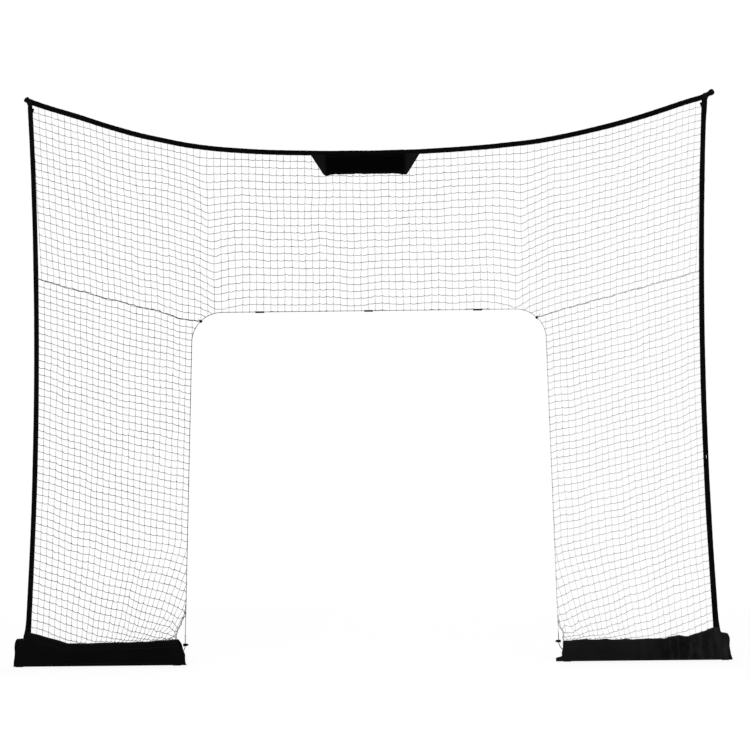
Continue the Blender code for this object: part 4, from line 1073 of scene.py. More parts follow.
def build_sleeves():
    pitch = bpy.context.scene.backstop_net_sizes.stitch_pitch
    for word, side in SIDES:
        shape, seams = Shape(), Shape()
        top = SLEEVE_TOP_V + CORNER_SHIFT[word]
        v = np.linspace(SLEEVE_BOTTOM_V, top, 460)
        middle = together(pole_x(v), 0, v)
        run = along(middle)
        out = unit(np.gradient(middle, axis=0))[:, ::-1] * (1, 0, -1)
        sides = 28
        a, h = turns(sides), v[:, None]
        # Round over the pole, flatter at front and back, with long soft folds and a flare at the cover
        fold = 0.0005 * ripple(a * 0.012, h, 0.16, 81 + side, (1.0, 0.35))
        fold = fold + 0.00025 * ripple(a * 0.02, h, 0.05, 83 + side)
        flare = np.exp(-(h - SLEEVE_BOTTOM_V) / 0.034)
        outwards = np.where(np.cos(a) > 0, 0.0125 if side < 0 else 0.0080, 0.0020)
        wide = SLEEVE_HALF[word] + outwards * flare * np.abs(np.cos(a))
        wide = wide - 0.0012 * smoothstep(top - 0.02, top, h)
        if side > 0:
            wide = wide + 0.0042 * smoothstep(2.93, top, h) * np.maximum(np.cos(a), 0)
        fold = fold + sum(0.0008 * hill(a, math.pi * turn, 0.10) for turn in (0.73, 1.27))
        points = middle[:, None] + out[:, None] * ((wide + fold) * np.cos(a))[..., None]
        points[..., 1] += (0.0094 + 0.0012 * flare + fold) * np.sin(a)
        points[..., 0] *= side
        layout = together(np.arange(sides + 1) / sides * SLEEVE_GIRTH, run[:, None])
        shape.grid(lean(points[:, ::side]), layout, closed=True)
        sleeve = place(word + "_sleeve_cloth", shape, "sleeve", word + "_side_sleeve", smooth=60)
        thicken(sleeve, 0.0011, -1.0)
        for turn in (1.27 * math.pi, 0.73 * math.pi):
            c, s = math.cos(turn), math.sin(turn)
            line = middle + out * (SLEEVE_HALF[word] + 0.0009) * c + (0, 0.0103 * s, 0)
            normal = lean_way((side * c, s, 0))
            seams.stitches(lean(line[18:] * (side, 1, 1)), normal, pitch=pitch)
        # The folded end of the top binding, sewn down on the inner side of the sleeve
        tab_v = top - 0.034
        tab_x = float(pole_x(tab_v)) - SLEEVE_HALF[word] - 0.0015
        tilt = Matrix.Translation(lean((side * tab_x, 0, tab_v)) - (0, 0.002, 0))
        tilt = tilt @ Matrix.Rotation(-LEAN, 4, "X") @ Matrix.Rotation(math.radians(-14) * side, 4, "Y")
        seams.block((-0.0050, -0.0026, -0.014), (0.0050, 0.0026, 0.014), 0.0022, 4, slot=1, matrix=tilt)
        trim = place(word + "_sleeve_seams", seams, "thread webbing")


# Cloth panel under the middle of the top band

PANEL_MIDDLE = -0.0105
PANEL_HALF_TOP = 0.3095
PANEL_HALF_LOW = 0.2425
PANEL_LOW_V = 2.659
PANEL_HEM = 0.0125


def build_panel():
    pitch = bpy.context.scene.backstop_net_sizes.stitch_pitch
    columns, rows = 150, 34
    shape, seams = Shape(), Shape()
    s = np.linspace(-1, 1, columns + 1)[None]
    t = np.linspace(0, 1, rows + 1)[:, None]
    half = ease(t, PANEL_HALF_LOW, PANEL_HALF_TOP)
    x = PANEL_MIDDLE + s * half
    corner = np.clip((np.abs(s) - 0.93) / 0.07, 0, 1)
    low = PANEL_LOW_V + 0.001 + 0.014 * corner**2 - 0.0075 * hill(np.abs(s), 0.90, 0.12)
    low = low + 0.0011 * ripple(x, 0, 0.07, 91) + 0.0011 * ripple(x, 0, 0.03, 94)
    high = top_v(x) - BAND_HALF + 0.0015
    v = ease(t, low, high)
    billow = 0.0016 * ripple(x, v, 0.22, 92) + 0.0005 * ripple(x, v, 0.05, 93)
    hem = np.minimum((1 - np.abs(s)) * half, v - low)
    fold = 0.0007 * (hem < PANEL_HEM) - 0.0005 * hill(hem, PANEL_HEM, 0.0018)
    free = smoothstep(0.0, 0.25, 1 - t) * 0.85 + 0.15
    points = together(x, -(0.0038 + billow * free + fold), v)
    shape.grid(lean(points), together(x - PANEL_MIDDLE, v))
    panel = place("panel_cloth_piece", shape, "panel", "center_panel", smooth=60)
    thicken(panel, 0.0016)
    seam = slice(6, columns - 5)
    for line in (points[3:, 6], points[3:, columns - 6], points[3, seam], points[-4, seam]):
        seams.stitches(lean(line + (0, -0.0009, 0)), -BEHIND, pitch=pitch)
    trim = place("panel_stitches", seams, "thread")
    width, height = 2 * PANEL_HALF_TOP, float(high.mean() - PANEL_LOW_V)


# Cloth covers of the bases

COVER_GIRTH = 0.235
COVER_FLAP = 0.055
COVER_HEM = 0.016

# Section of a cover: depth from the middle, share of the ridge's height, and height of its own
COVER_SECTION = (
    (-0.0272, 0.0, 0.003), (-0.0276, 0.20, 0.0), (-0.0276, 0.50, 0.0), (-0.0266, 0.76, 0.0),
    (-0.0225, 0.93, 0.0), (-0.0085, 0.992, 0.0), (0.0080, 1.0, 0.0), (0.0195, 0.955, 0.0),
    (0.0285, 0.86, 0.0), (0.0300, 0.72, 0.0), (0.0302, 0.0, 0.056),
)
# Creases in the front of each cover: two ends (across, up), how deep it is and how wide
CREASES = {
    "left": [
        (1.772, 0.150, 1.748, 0.070, 0.0040, 0.0050), (1.762, 0.150, 1.716, 0.064, -0.0034, 0.0055),
        (1.745, 0.135, 1.676, 0.052, 0.0036, 0.0060), (1.722, 0.118, 1.640, 0.060, -0.0026, 0.0060),
        (1.690, 0.112, 1.590, 0.078, 0.0022, 0.0070), (1.806, 0.128, 1.832, 0.040, 0.0034, 0.0055),
        (1.820, 0.130, 1.838, 0.074, -0.0024, 0.0045), (1.560, 0.102, 1.460, 0.050, 0.0016, 0.0080),
        (1.090, 0.110, 1.010, 0.050, 0.0026, 0.0065), (1.130, 0.106, 1.030, 0.028, -0.0020, 0.0075),
        (1.330, 0.098, 1.220, 0.040, 0.0014, 0.0090), (1.700, 0.040, 1.500, 0.026, 0.0018, 0.0060),
    ],
    "right": [
        (1.580, 0.104, 1.664, 0.040, 0.0052, 0.0055), (1.604, 0.112, 1.690, 0.056, -0.0040, 0.0055),
        (1.560, 0.092, 1.632, 0.036, -0.0034, 0.0060), (1.636, 0.108, 1.708, 0.074, 0.0038, 0.0050),
        (1.784, 0.150, 1.768, 0.072, 0.0044, 0.0042), (1.770, 0.142, 1.748, 0.078, -0.0034, 0.0045),
        (1.752, 0.130, 1.722, 0.060, 0.0036, 0.0050), (1.806, 0.124, 1.818, 0.050, 0.0030, 0.0050),
        (1.040, 0.030, 1.215, 0.025, 0.0036, 0.0060), (1.260, 0.040, 1.420, 0.030, 0.0020, 0.0070),
        (1.450, 0.092, 1.525, 0.050, 0.0026, 0.0070), (1.000, 0.090, 1.060, 0.040, 0.0026, 0.0065),
        (1.140, 0.096, 1.190, 0.058, 0.0018, 0.0070), (1.340, 0.094, 1.290, 0.052, -0.0018, 0.0070),
    ],
}


def creased(x, z, word):
    """How far the creases push the front of a cover out."""
    push = 0.0
    for x0, z0, x1, z1, depth, width in CREASES[word]:
        way = np.array([x1 - x0, z1 - z0])
        long = np.hypot(*way)
        share = ((x - x0) * way[0] + (z - z0) * way[1]) / long**2
        aside = ((x - x0) * way[1] - (z - z0) * way[0]) / long + 0.004 * np.sin(3.0 * share + 40 * x0)
        taper = smoothstep(-0.15, 0.25, share) * (1 - smoothstep(0.65, 1.15, share))
        push = push + depth * taper * hill(aside, 0, width)
    return push


def cover_points(word, side):
    """The cover as a grid: columns along the base, rows from the front hem over the ridge to the back hem."""
    u = np.linspace(0, 1, 261)[:, None]
    w = np.linspace(0, 1, 61)[None]
    x = ease(u, COVER_IN_X, COVER_OUT_X)
    layout = together(x, COVER_GIRTH * w)
    ragged, pitch = (0.0012, 0.10) if side < 0 else (0.0024, 0.070)
    quiet = smoothstep(0.0, 0.05, u) * smoothstep(0.0, 0.12, 1 - u)
    ridge = ridge_z(side * x) + ragged * ripple(x, 0, pitch, 201 + side) * quiet
    if side < 0:
        ridge = ridge + 0.004 * np.exp(-((x - COVER_IN_X) / 0.05))
    section = np.array(COVER_SECTION)
    share = along(rounded(together(section[:, 0], section[:, 1] * 0.122 + section[:, 2]), 2))
    y, scale, base = np.moveaxis(at_runs(rounded(section, 2), share / share[-1], w), -1, 0)
    lower_hem = 1 - 0.45 * hill(x, COVER_IN_X, 0.07)
    z = np.maximum(scale * ridge + base * np.where(w > 0.6, lower_hem, 1 - scale * 0.2), 0.0030)
    front = 1 - smoothstep(0.47, 0.58, w)
    push = 1.15 * creased(x, z, word)
    push += 0.0011 * ripple(x + (z * 0.8 if side < 0 else -z * 0.7), z, 0.13, 211 + side, (1.0, 0.45))
    push += 0.0006 * ripple(x, z, 0.045, 214 + side, (1.0, 0.6))
    push += 0.0009 * ripple(x, z, 0.16, 217 + side, (0.35, 2.2))
    groove = -0.0012 * hill(z, COVER_HEM, 0.0022) - 0.0010 * hill(z, ridge - 0.014, 0.0022)
    pucker = np.sin(2 * math.pi * x / 0.0132 + 3 * ripple(x, z, 0.2, 220))
    pucker = 0.0007 * pucker * hill(z, COVER_HEM, 0.006)
    y = y - (push * smoothstep(0.002, 0.03, z) + groove + pucker) * front
    y = y + 0.0010 * ripple(x, z, 0.10, 223 + side) * smoothstep(0.5, 0.7, w)
    # The left inner end is cut off at a slant above; the right one has a loose corner on the floor
    near_end = np.exp(-((x - COVER_IN_X) / 0.05))
    behind_low = (1 - front) * (1 - smoothstep(0.06, 0.11, z))
    if side < 0:
        slant = -0.0245 + 0.0445 * np.clip((z - 0.056) / 0.072, 0, 1) - 0.012 * np.exp(-z / 0.010)
        slant = slant + 0.0130 * behind_low
    else:
        slant = -0.007 + 0.021 * np.clip((z - 0.04) / 0.08, 0, 1) ** 1.3
        slant = slant - 0.033 * (1 - smoothstep(0.020, 0.031, z)) * front + 0.0090 * behind_low
    x = x + slant * near_end
    # The outer end stands nearly upright and flares on the floor
    near_end = np.exp(-((COVER_OUT_X - x).clip(0) / 0.03))
    step, flare = (-0.002, 0.004) if side < 0 else (-0.004, 0.014)
    x = x + near_end * (step + flare * np.exp(-z / 0.016) + 0.0015 * np.sin(z * 75))
    return together(side * x, NET_Y + y, z), layout


def build_covers():
    sizes = bpy.context.scene.backstop_net_sizes
    for word, side in SIDES:
        points, layout = cover_points(word, side)
        shape, seams = Shape(), Shape()
        shape.grid(points[:, ::side], layout[:, ::side])
        # The outer end is closed by a flap between the last column's front and back
        half = points.shape[1] // 2
        q, up = np.linspace(0, 1, 10)[:, None], np.linspace(0, 1, half + 1)
        flap = ease(q[..., None], points[-1, : half + 1], points[-1, : half - 1 : -1])
        swell = 0.003 if side < 0 else 0.006
        flap[..., 0] += side * swell * np.sin(math.pi * q) * (1 - smoothstep(0.7, 1.0, up))
        layout = together(COVER_OUT_X + q * COVER_FLAP, 0.13 * up)
        shape.grid(flap[:, ::side], layout[:, ::side])
        cover = place(word + "_cover_cloth", shape, "cloth", word + "_base_cover", smooth=70)
        weld = cover.modifiers.new("weld", "WELD")
        weld.merge_threshold = 0.0002
        thicken(cover, sizes.cloth)
        normal = np.array([0, -1.0, 0])
        fronts = points[2:-4, :half]
        for heights in (np.full(len(fronts), COVER_HEM), fronts[..., 2].max(axis=1) - COVER_HEM):
            line = [at_runs(front, front[:, 2], z) for front, z in zip(fronts, heights)]
            seams.stitches(line + normal * (sizes.cloth / 2 + 0.0001), normal, pitch=sizes.stitch_pitch)
        trim = place(word + "_cover_stitches", seams, "thread")


# Straps

# Heights of a strap's two layers behind the middle of the border cord
STRAP_NEAR = 0.0037
STRAP_FAR = 0.0053
TIE_WIDE = 0.015


def build_straps():
    """Hook-and-loop straps under the crossbar's edge, and knotted ties at the corners of the opening."""
    reach = CORD_ARC * math.cos(math.radians(5)) * math.sqrt(0.5)
    for name, x in STRAPS_X.items():
        build_tie(name, x, CORD_TOP_V, 0, STRAP_WIDE)
    for word, side in SIDES:
        build_tie(word + "_corner", side * (ARC_X + reach), ARC_V + reach, side, TIE_WIDE)


def build_tie(name, x, v, side, wide):
    """A strap that goes round the border cord, closes on itself and stands back from the net."""
    sizes = bpy.context.scene.backstop_net_sizes
    shape, trim = Shape(), Shape()
    grip = sizes.border_cord / 2 + 0.0009
    path = [(z, STRAP_FAR) for z in (0.0385, 0.026, 0.014)] + [(0.006, 0.0046)]
    path += [(grip * math.cos(a), grip * math.sin(a)) for a in np.radians(np.linspace(75, 290, 16))]
    path += [(0.0050, 0.0008), (0.0080, 0.0031)] + [(z, STRAP_NEAR) for z in (0.014, 0.026, 0.0380)]
    path = rounded(path, 2)
    run = along(path)[:, None]
    across = np.linspace(-wide / 2, wide / 2, 13)
    # A narrow strap is gathered where it goes round the cord
    gather = 1 - 0.35 * hill(path[:, :1], 0, 0.010) if side else 1.0
    lift = path[:, 1:] + 0.00025 * ripple(across, run, 0.02, 301)
    points = together(across * gather, path[:, :1], lift)
    turn = np.array(Matrix.Translation((x, 0.0, v)) @ Matrix.Rotation(math.radians(45 * side), 4, "Y"))

    def at(p):
        return lean(np.asarray(p, float) @ turn[:3, :3].T + turn[:3, 3])

    def way(*p):
        return at(p) - at((0, 0, 0))

    shape.grid(at(points), together(across, run))
    body = name + "_strap"
    thicken(place(body + "_webbing", shape, "webbing", name + "_tie", body, smooth=60), 0.0013)
    half = wide / 2 - 0.003
    box = [(-half, 0.012), (half, 0.012), (half, 0.034), (-half, 0.034), (-half, 0.012)]
    for start, end in zip(box, box[1:]):
        for height, face in ((STRAP_FAR + 0.0007, 1), (STRAP_NEAR - 0.0007, -1)):
            ends, out = at([(*start, height), (*end, height)]), unit(way(0, 0, 1)) * face
            trim.stitches(ends, out, pitch=sizes.stitch_pitch * 0.7, length=0.0033)
    if side:
        # The knot: two turns over each other, and one loose end that points away from the opening
        for tilt, reach in ((0.5, 0.0044), (-0.6, 0.0040)):
            trim.ring(at((0, 0.0006, 0.0034)), way(1, tilt, 0.2), reach, 0.0019, 18, 8, slot=1)
        knot = unit(way(1, 0.1, 0.3))[None]
        add_lumps(trim, at((0, 0.0010, 0.0040))[None], knot, 0.0125, 0.0105, 71, slot=1)
        loose = 0.024 if side > 0 else 0.013
        tail = [(side * 0.002, 0.001, 0.006), (side * 0.004, 0, 0.013), (side * 0.001, 0.003, 0.006 + loose)]
        trim.tube(at(rounded(tail)), 0.0014, 8, slot=1)
    place(body + "_stitches", trim, "thread webbing", body=body)


# Fittings and steelwork

# Knob of each corner: radius, neck, length, rounding, reach of the arm and of the knob, and angle in degrees
TIPS = {
    "left": (0.0172, 0.0140, 0.0074, 0.0016, 0.0190, 0.0305, 43),
    "right": (0.0176, 0.0132, 0.0300, 0.0125, 0.0250, 0.0625, 31),
}
# Half the depth of a corner fitting
CORNER_HALF = 0.009


def build_corners():
    """Moulded corners: one arm takes the pole, one meets the band and one carries the tip knob."""
    tilt = Matrix.Translation((0, NET_Y, 0)) @ Matrix.Rotation(-LEAN, 4, "X")
    for word, side in SIDES:
        shape = Shape()
        _, neck, _, _, arm, _, angle = TIPS[word]
        c, s = math.cos(math.radians(angle)), math.sin(math.radians(angle))
        corner_v = CORNER_V + CORNER_SHIFT[word]

        def on_band(x):
            return float(top_v(side * (CORNER_X + x))) + 0.0156 - corner_v

        # Where the upper side of the tip's arm meets the top of the band
        meet = min(np.linspace(-0.016, 0.012, 57), key=lambda x: abs((x * s + neck) / c - on_band(x)))
        # The right one is stouter outside
        out = 0.0 if side < 0 else 0.0045
        outline = [(-0.0132, -0.0172), (0.0122 + out, -0.0172)]
        outline += [(0.0126 + out, -0.0115), (0.0160 + out, -0.0035)]
        outline += [(arm * c + neck * s, arm * s - neck * c), (arm * c - neck * s, arm * s + neck * c)]
        outline += [(meet, on_band(meet)), (-0.0200, on_band(-0.0200)), (-0.0132, -0.0060)]
        made = bmesh.new()
        depths = (-CORNER_HALF, CORNER_HALF)
        near, far = ([made.verts.new((side * x, y, z)) for x, z in outline] for y in depths)
        made.faces.new(near)
        made.faces.new(far[::-1])
        for k in range(len(outline)):
            n = (k + 1) % len(outline)
            made.faces.new((near[k], far[k], far[n], near[n]))
        bmesh.ops.recalc_face_normals(made, faces=made.faces[:])
        bmesh.ops.bevel(made, geom=made.edges[:], offset=0.0018, segments=4, profile=0.5, affect="EDGES")
        centre = Matrix.Translation((side * CORNER_X, 0, corner_v))
        bmesh.ops.transform(made, matrix=tilt @ centre, verts=made.verts[:])
        shape.solid(made)
        # Moulded collar where the pole goes in, and ribs across the face
        mouth = lean((side * float(pole_x(corner_v - 0.017)), 0.0, corner_v - 0.0178))
        shape.ring(mouth, (side * 0.08, math.sin(LEAN), 1.0), 0.0092, 0.0014, 32, 8)
        for rib in (-0.0062, 0.0, 0.0062):
            low = (side * CORNER_X - 0.008, -CORNER_HALF - 0.0007, corner_v + rib - 0.0009)
            high = (side * CORNER_X + 0.008, -CORNER_HALF + 0.001, corner_v + rib + 0.0009)
            shape.block(low, high, 0.0005, 2, matrix=tilt)
        place(word + "_corner_mould", shape, "plastic", word + "_corner_fitting")
        build_tip(word, side)


def build_tip(word, side):
    """The rubber knob that keeps the corner off the floor: a short neck and a rounded flange."""
    radius, neck, thick, soft, arm, far, angle = TIPS[word]
    seat = arm - 0.0004
    reach = far - seat
    low = reach - thick
    profile = [(neck - 0.0012, 0.0), (neck, 0.0012)]
    if low > 0.006:
        profile += [(neck, low - 0.003), (neck + 0.0008, low - 0.0012)]
    for centre, first in ((low + soft, -90), (reach - soft, 0)):
        for a in np.radians(np.linspace(first, first + 90, 9)):
            ring = radius - soft + soft * math.cos(a)
            if ring > neck:
                profile.append((ring, centre + soft * math.sin(a)))
        if first < 0:
            # A fine parting line round the rim
            middle = reach - thick / 2
            profile += [(radius, middle - 0.0008), (radius + 0.0003, middle), (radius, middle + 0.0008)]
    end = min(radius - soft, neck) * 0.9
    profile += [(end, reach + 0.0001), (end * 0.92, reach - 0.0007)]
    profile += [(end * 0.4, reach - 0.0010), (0.0004, reach - 0.0010)]
    tip = Shape()
    c, s = math.cos(math.radians(angle)), math.sin(math.radians(angle))
    start = lean((side * (CORNER_X + seat * c), 0.0, CORNER_V + CORNER_SHIFT[word] + seat * s))
    tip.turned(profile, start, lean_way((side * c, 0.0, s)), 48)
    place(word + "_tip_rubber", tip, "rubber", word + "_tip_knob", smooth=50)


def foot_block(shape, low, high, axis):
    """A moulded foot: a rounded block with ribs that stand out along its sides."""
    shape.block(low, high, 0.0032, 4)
    for share in (0.2, 0.4, 0.6, 0.8):
        a, b = np.array(low), np.array(high)
        middle = ease(share, low[axis], high[axis])
        a[axis], b[axis] = middle - 0.0011, middle + 0.0011
        a[1 - axis] -= 0.0006
        b[1 - axis] += 0.0006
        a[2] += 0.006
        b[2] -= 0.006
        shape.block(a, b, 0.0006, 2)


# Tubes of a base: inner end, outer end and diameter. Feet: two ends, bore of the mouth and where the mouth is
BASE_TUBES = {"outer_base_tube": (1.360, POLE_X + 0.044, 0.032), "inner_base_tube": (0.990, 1.440, 0.028)}
BASE_FEET = {"inner_foot": (0.9837, 1.0237, 0.028, 1.0237), "outer_foot": (1.7953, 1.8353, 0.032, 1.7953)}
BASE_WALL = 0.0017
# Half the depth and the height of a base foot
FOOT_HALF = 0.025
FOOT_HIGH = 0.046
BUTTON_X = 1.400
BUTTON_FLANGE = 0.00625
BUTTON_RADIUS = 0.004


def build_base_steel():
    y = NET_Y
    for word, side in SIDES:
        for name, (start, end, diameter) in BASE_TUBES.items():
            shape = Shape()
            shape.pipe((side * start, y, TUBE_Z), (side * end, y, TUBE_Z), diameter, BASE_WALL, 48)
            if name.startswith("outer"):
                for x in (start + 0.004, start + 0.010):
                    shape.ring((side * x, y, TUBE_Z), (1, 0, 0), diameter / 2 - 0.0002, 0.0006, 48, 6)
            place(word + "_" + name + "_coated", shape, "steel", word + "_" + name)
        for name, (low, high, bore, mouth) in BASE_FEET.items():
            shape = Shape()
            a, b = sorted((side * low, side * high))
            foot_block(shape, (a, y - FOOT_HALF, 0.0), (b, y + FOOT_HALF, FOOT_HIGH), 0)
            shape.ring((side * mouth, y, TUBE_Z), (1, 0, 0), bore / 2 + 0.0018, 0.0016, 40, 8)
            place(word + "_" + name + "_moulded", shape, "rubber", word + "_" + name)
        button = Shape()
        flange, r = BUTTON_FLANGE, BUTTON_RADIUS
        stem = [(flange, 0.0), (flange, 0.0015), (r, 0.0017), (r, 0.0105)]
        dome = [(r * math.cos(a), 0.0105 + 0.0022 * math.sin(a)) for a in np.linspace(0.1, 1.45, 8)]
        button.turned(stem + dome, (side * BUTTON_X, y, TUBE_Z + 0.0078), (0, 0, 1))
        place(word + "_lock_pin", button, "zinc", word + "_snap_button", word + "_snap", smooth=50)
        build_spring(word, side)
        build_leg(word, side)


def build_spring(word, side):
    """The bent leaf in the inner tube that holds the lock pin up, and gives way when the pin is pressed."""
    low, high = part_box(word + "_button_spring")
    far, near = sorted((abs(low[0]), abs(high[0])))
    thick, wide = 0.0009, 0.010
    bottom, top = low[2] + thick / 2, high[2] - thick / 2
    middle = (bottom + top) / 2
    path = [(near, top), (BUTTON_X - BUTTON_FLANGE, top), (far + 0.0040, middle + 0.0014)]
    path = rounded(path + [(far + thick / 2, middle), (far + 0.0040, middle - 0.0014), (near, bottom)], 2)
    y = NET_Y + np.linspace(-wide / 2, wide / 2, 5)
    points = together(side * path[:, :1], y, path[:, 1:])
    leaf = Shape()
    leaf.grid(points, together(y, along(path)[:, None]))
    spring = place(word + "_spring_leaf", leaf, "zinc", word + "_button_spring", smooth=60)
    thicken(spring, thick)
    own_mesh(spring)


# Bracket of a leg: half the gap between its plates, their thickness and half their width
BRACKET_GAP = 0.013
BRACKET_PLATE = 0.004
BRACKET_HALF = 0.018
# How far a leg's tube and its foot reach behind the pivot
LEG_LONG = 0.500
LEG_FOOT_END = 0.5063


def build_leg(word, side):
    x, y, body = side * LEG_X, LEG_Y, word + "_leg"
    bracket = Shape()
    back = NET_Y + 0.0163
    inner, outer = BRACKET_GAP, BRACKET_GAP + BRACKET_PLATE
    left, right = x - BRACKET_HALF, x + BRACKET_HALF
    for low, high in ((TUBE_Z + inner, TUBE_Z + outer), (TUBE_Z - outer, TUBE_Z - inner)):
        bracket.block((left, back, low), (right, y + 0.014, high), 0.0012)
    bracket.block((left, back, TUBE_Z - outer), (right, back + BRACKET_PLATE, TUBE_Z + outer), 0.0014)
    for z in (TUBE_Z - inner + 0.001, TUBE_Z + inner - 0.001):
        bead = [(x + k, back + BRACKET_PLATE, z) for k in (-0.017, 0.017)]
        bracket.tube(evenly(bead, 0.002), 0.0014, 8, up=(0, 1, 0))
    weld = np.linspace(-0.017, 0.017, 26)
    for z in (TUBE_Z - 0.011, TUBE_Z + 0.011):
        line = together(x + weld, back - 0.0004, z + 0.0002 * np.sin(weld * 2200))
        bracket.tube(line, 0.0018 + 0.0003 * np.sin(weld * 1500), 8, up=(0, 1, 0))
    place(word + "_bracket_welded", bracket, "steel", word + "_leg_bracket")
    bolt = Shape()
    half = outer + 0.0048
    low, high = TUBE_Z - half, TUBE_Z + half
    bolt.turned([(0.003, low - 0.001), (0.004, low), (0.004, high - 0.0003)], (x, y, 0), (0, 0, 1))
    for start, end in ((low, low + 0.0035), (high - 0.0035, high)):
        hexagon = [(0.0066, start), (0.0074, start + 0.0006), (0.0074, end - 0.0006), (0.0066, end)]
        bolt.turned(hexagon, (x, y, 0), (0, 0, 1), 6)
    for start in (low + 0.0035, high - 0.0045):
        washer = [(0.0080, 0.0001), (0.0083, 0.0004), (0.0083, 0.0008), (0.0080, 0.0010)]
        bolt.turned(washer, (x, y, start), (0, 0, 1), 36)
    place(word + "_pivot_bolt", bolt, "zinc", word + "_leg_bolt", smooth=28)
    leg = Shape()
    leg.pipe((x, y - 0.014, TUBE_Z), (x, y + LEG_LONG, TUBE_Z), 0.025, 0.0015, 44)
    leg.ring((x, y - 0.0136, TUBE_Z), (0, 1, 0), 0.0112, 0.0010, 44, 6)
    place(body + "_coated", leg, "steel", word + "_rear_leg", body)
    foot = Shape()
    end = y + LEG_FOOT_END
    foot_block(foot, (x - 0.018, end - 0.040, 0.0), (x + 0.018, end, 0.042), 1)
    foot.ring((x, end - 0.040, TUBE_Z), (0, 1, 0), 0.0143, 0.0016, 40, 8)
    place(body + "_foot_moulded", foot, "rubber", body + "_foot", body)


# Cord lock: height over the floor, radius and length of its barrel
LOCK_Z = 0.100
LOCK_RADIUS = 0.007
LOCK_LONG = 0.021


def build_cord_locks():
    r = LOCK_RADIUS
    barrel = [(0.0047, 0.0), (0.0062, 0.0), (r, 0.0009)]
    for k in range(5):
        start, groove = 0.003 + k * 0.0028, r - 0.0007
        barrel += [(r, start), (groove, start + 0.0005), (groove, start + 0.0011), (r, start + 0.0016)]
    barrel += [(r, LOCK_LONG - 0.001), (0.0062, LOCK_LONG), (0.002, LOCK_LONG)]
    knob = [(0.0045, 0.002), (0.0045, -0.0048), (0.0038, -0.0058), (0.0026, -0.0060), (0.0022, -0.0054)]
    knob += [(0.0004, -0.0053)]
    for word, side in SIDES:
        face = (side * (CORD_X - LOCK_LONG / 2), CORD_FOOT_Y, LOCK_Z)
        lock, plunger = Shape(), Shape()
        lock.turned(barrel, face, (side, 0, 0), 36)
        for way in (-0.0066, 0.0066):
            lock.ring((side * CORD_X, CORD_FOOT_Y, LOCK_Z + way), (0, 0, 1), 0.0029, 0.0008, 24, 6)
        place(word + "_lock_barrel", lock, "plastic", word + "_cord_lock")
        plunger.turned(knob, face, (side, 0, 0))
        place(word + "_lock_plunger", plunger, "plastic", word + "_cord_lock_button", word + "_lock_button")


CARRIED = {
    "pole_lower": "rod",
    "pole_middle": "rod",
    "pole_upper": "rod",
    "ferrule_lower": "zinc",
    "ferrule_upper": "zinc",
    "pole_socket": "steel",
}


def dress_carried():
    """Gives the CAD nodes that stay as they are their real finish."""
    for word, _ in SIDES:
        for part, finish in CARRIED.items():
            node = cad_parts[word + "_" + part]
            node.data.materials.clear()
            node.data.materials.append(finish_of(finish))


# Camera, light and floor

LENS = 50.0
CAMERA_AT = (0.0558, -5.7777, 0.8316)
# Heading, pitch and roll of the camera, in degrees
CAMERA_TURNS = ((0.25, "Z"), (96.88, "X"), (-0.62, "Z"))
WHITE = (1.0, 1.0, 1.0, 1.0)
FLOOR_REACH = 40.0
# Distances from the object between which the floor turns plain white
FLOOR_FADE = (2.4, 4.0)


def build_camera():
    lens = bpy.data.cameras.new("camera")
    lens.lens = LENS
    lens.sensor_width = 36.0
    lens.clip_end = 200.0
    camera = bpy.data.objects.new("camera", lens)
    bpy.context.scene.collection.objects.link(camera)
    turn = Matrix.Translation(CAMERA_AT)
    for degrees, axis in CAMERA_TURNS:
        turn = turn @ Matrix.Rotation(math.radians(degrees), 4, axis)
    camera.matrix_world = turn
    bpy.context.scene.camera = camera


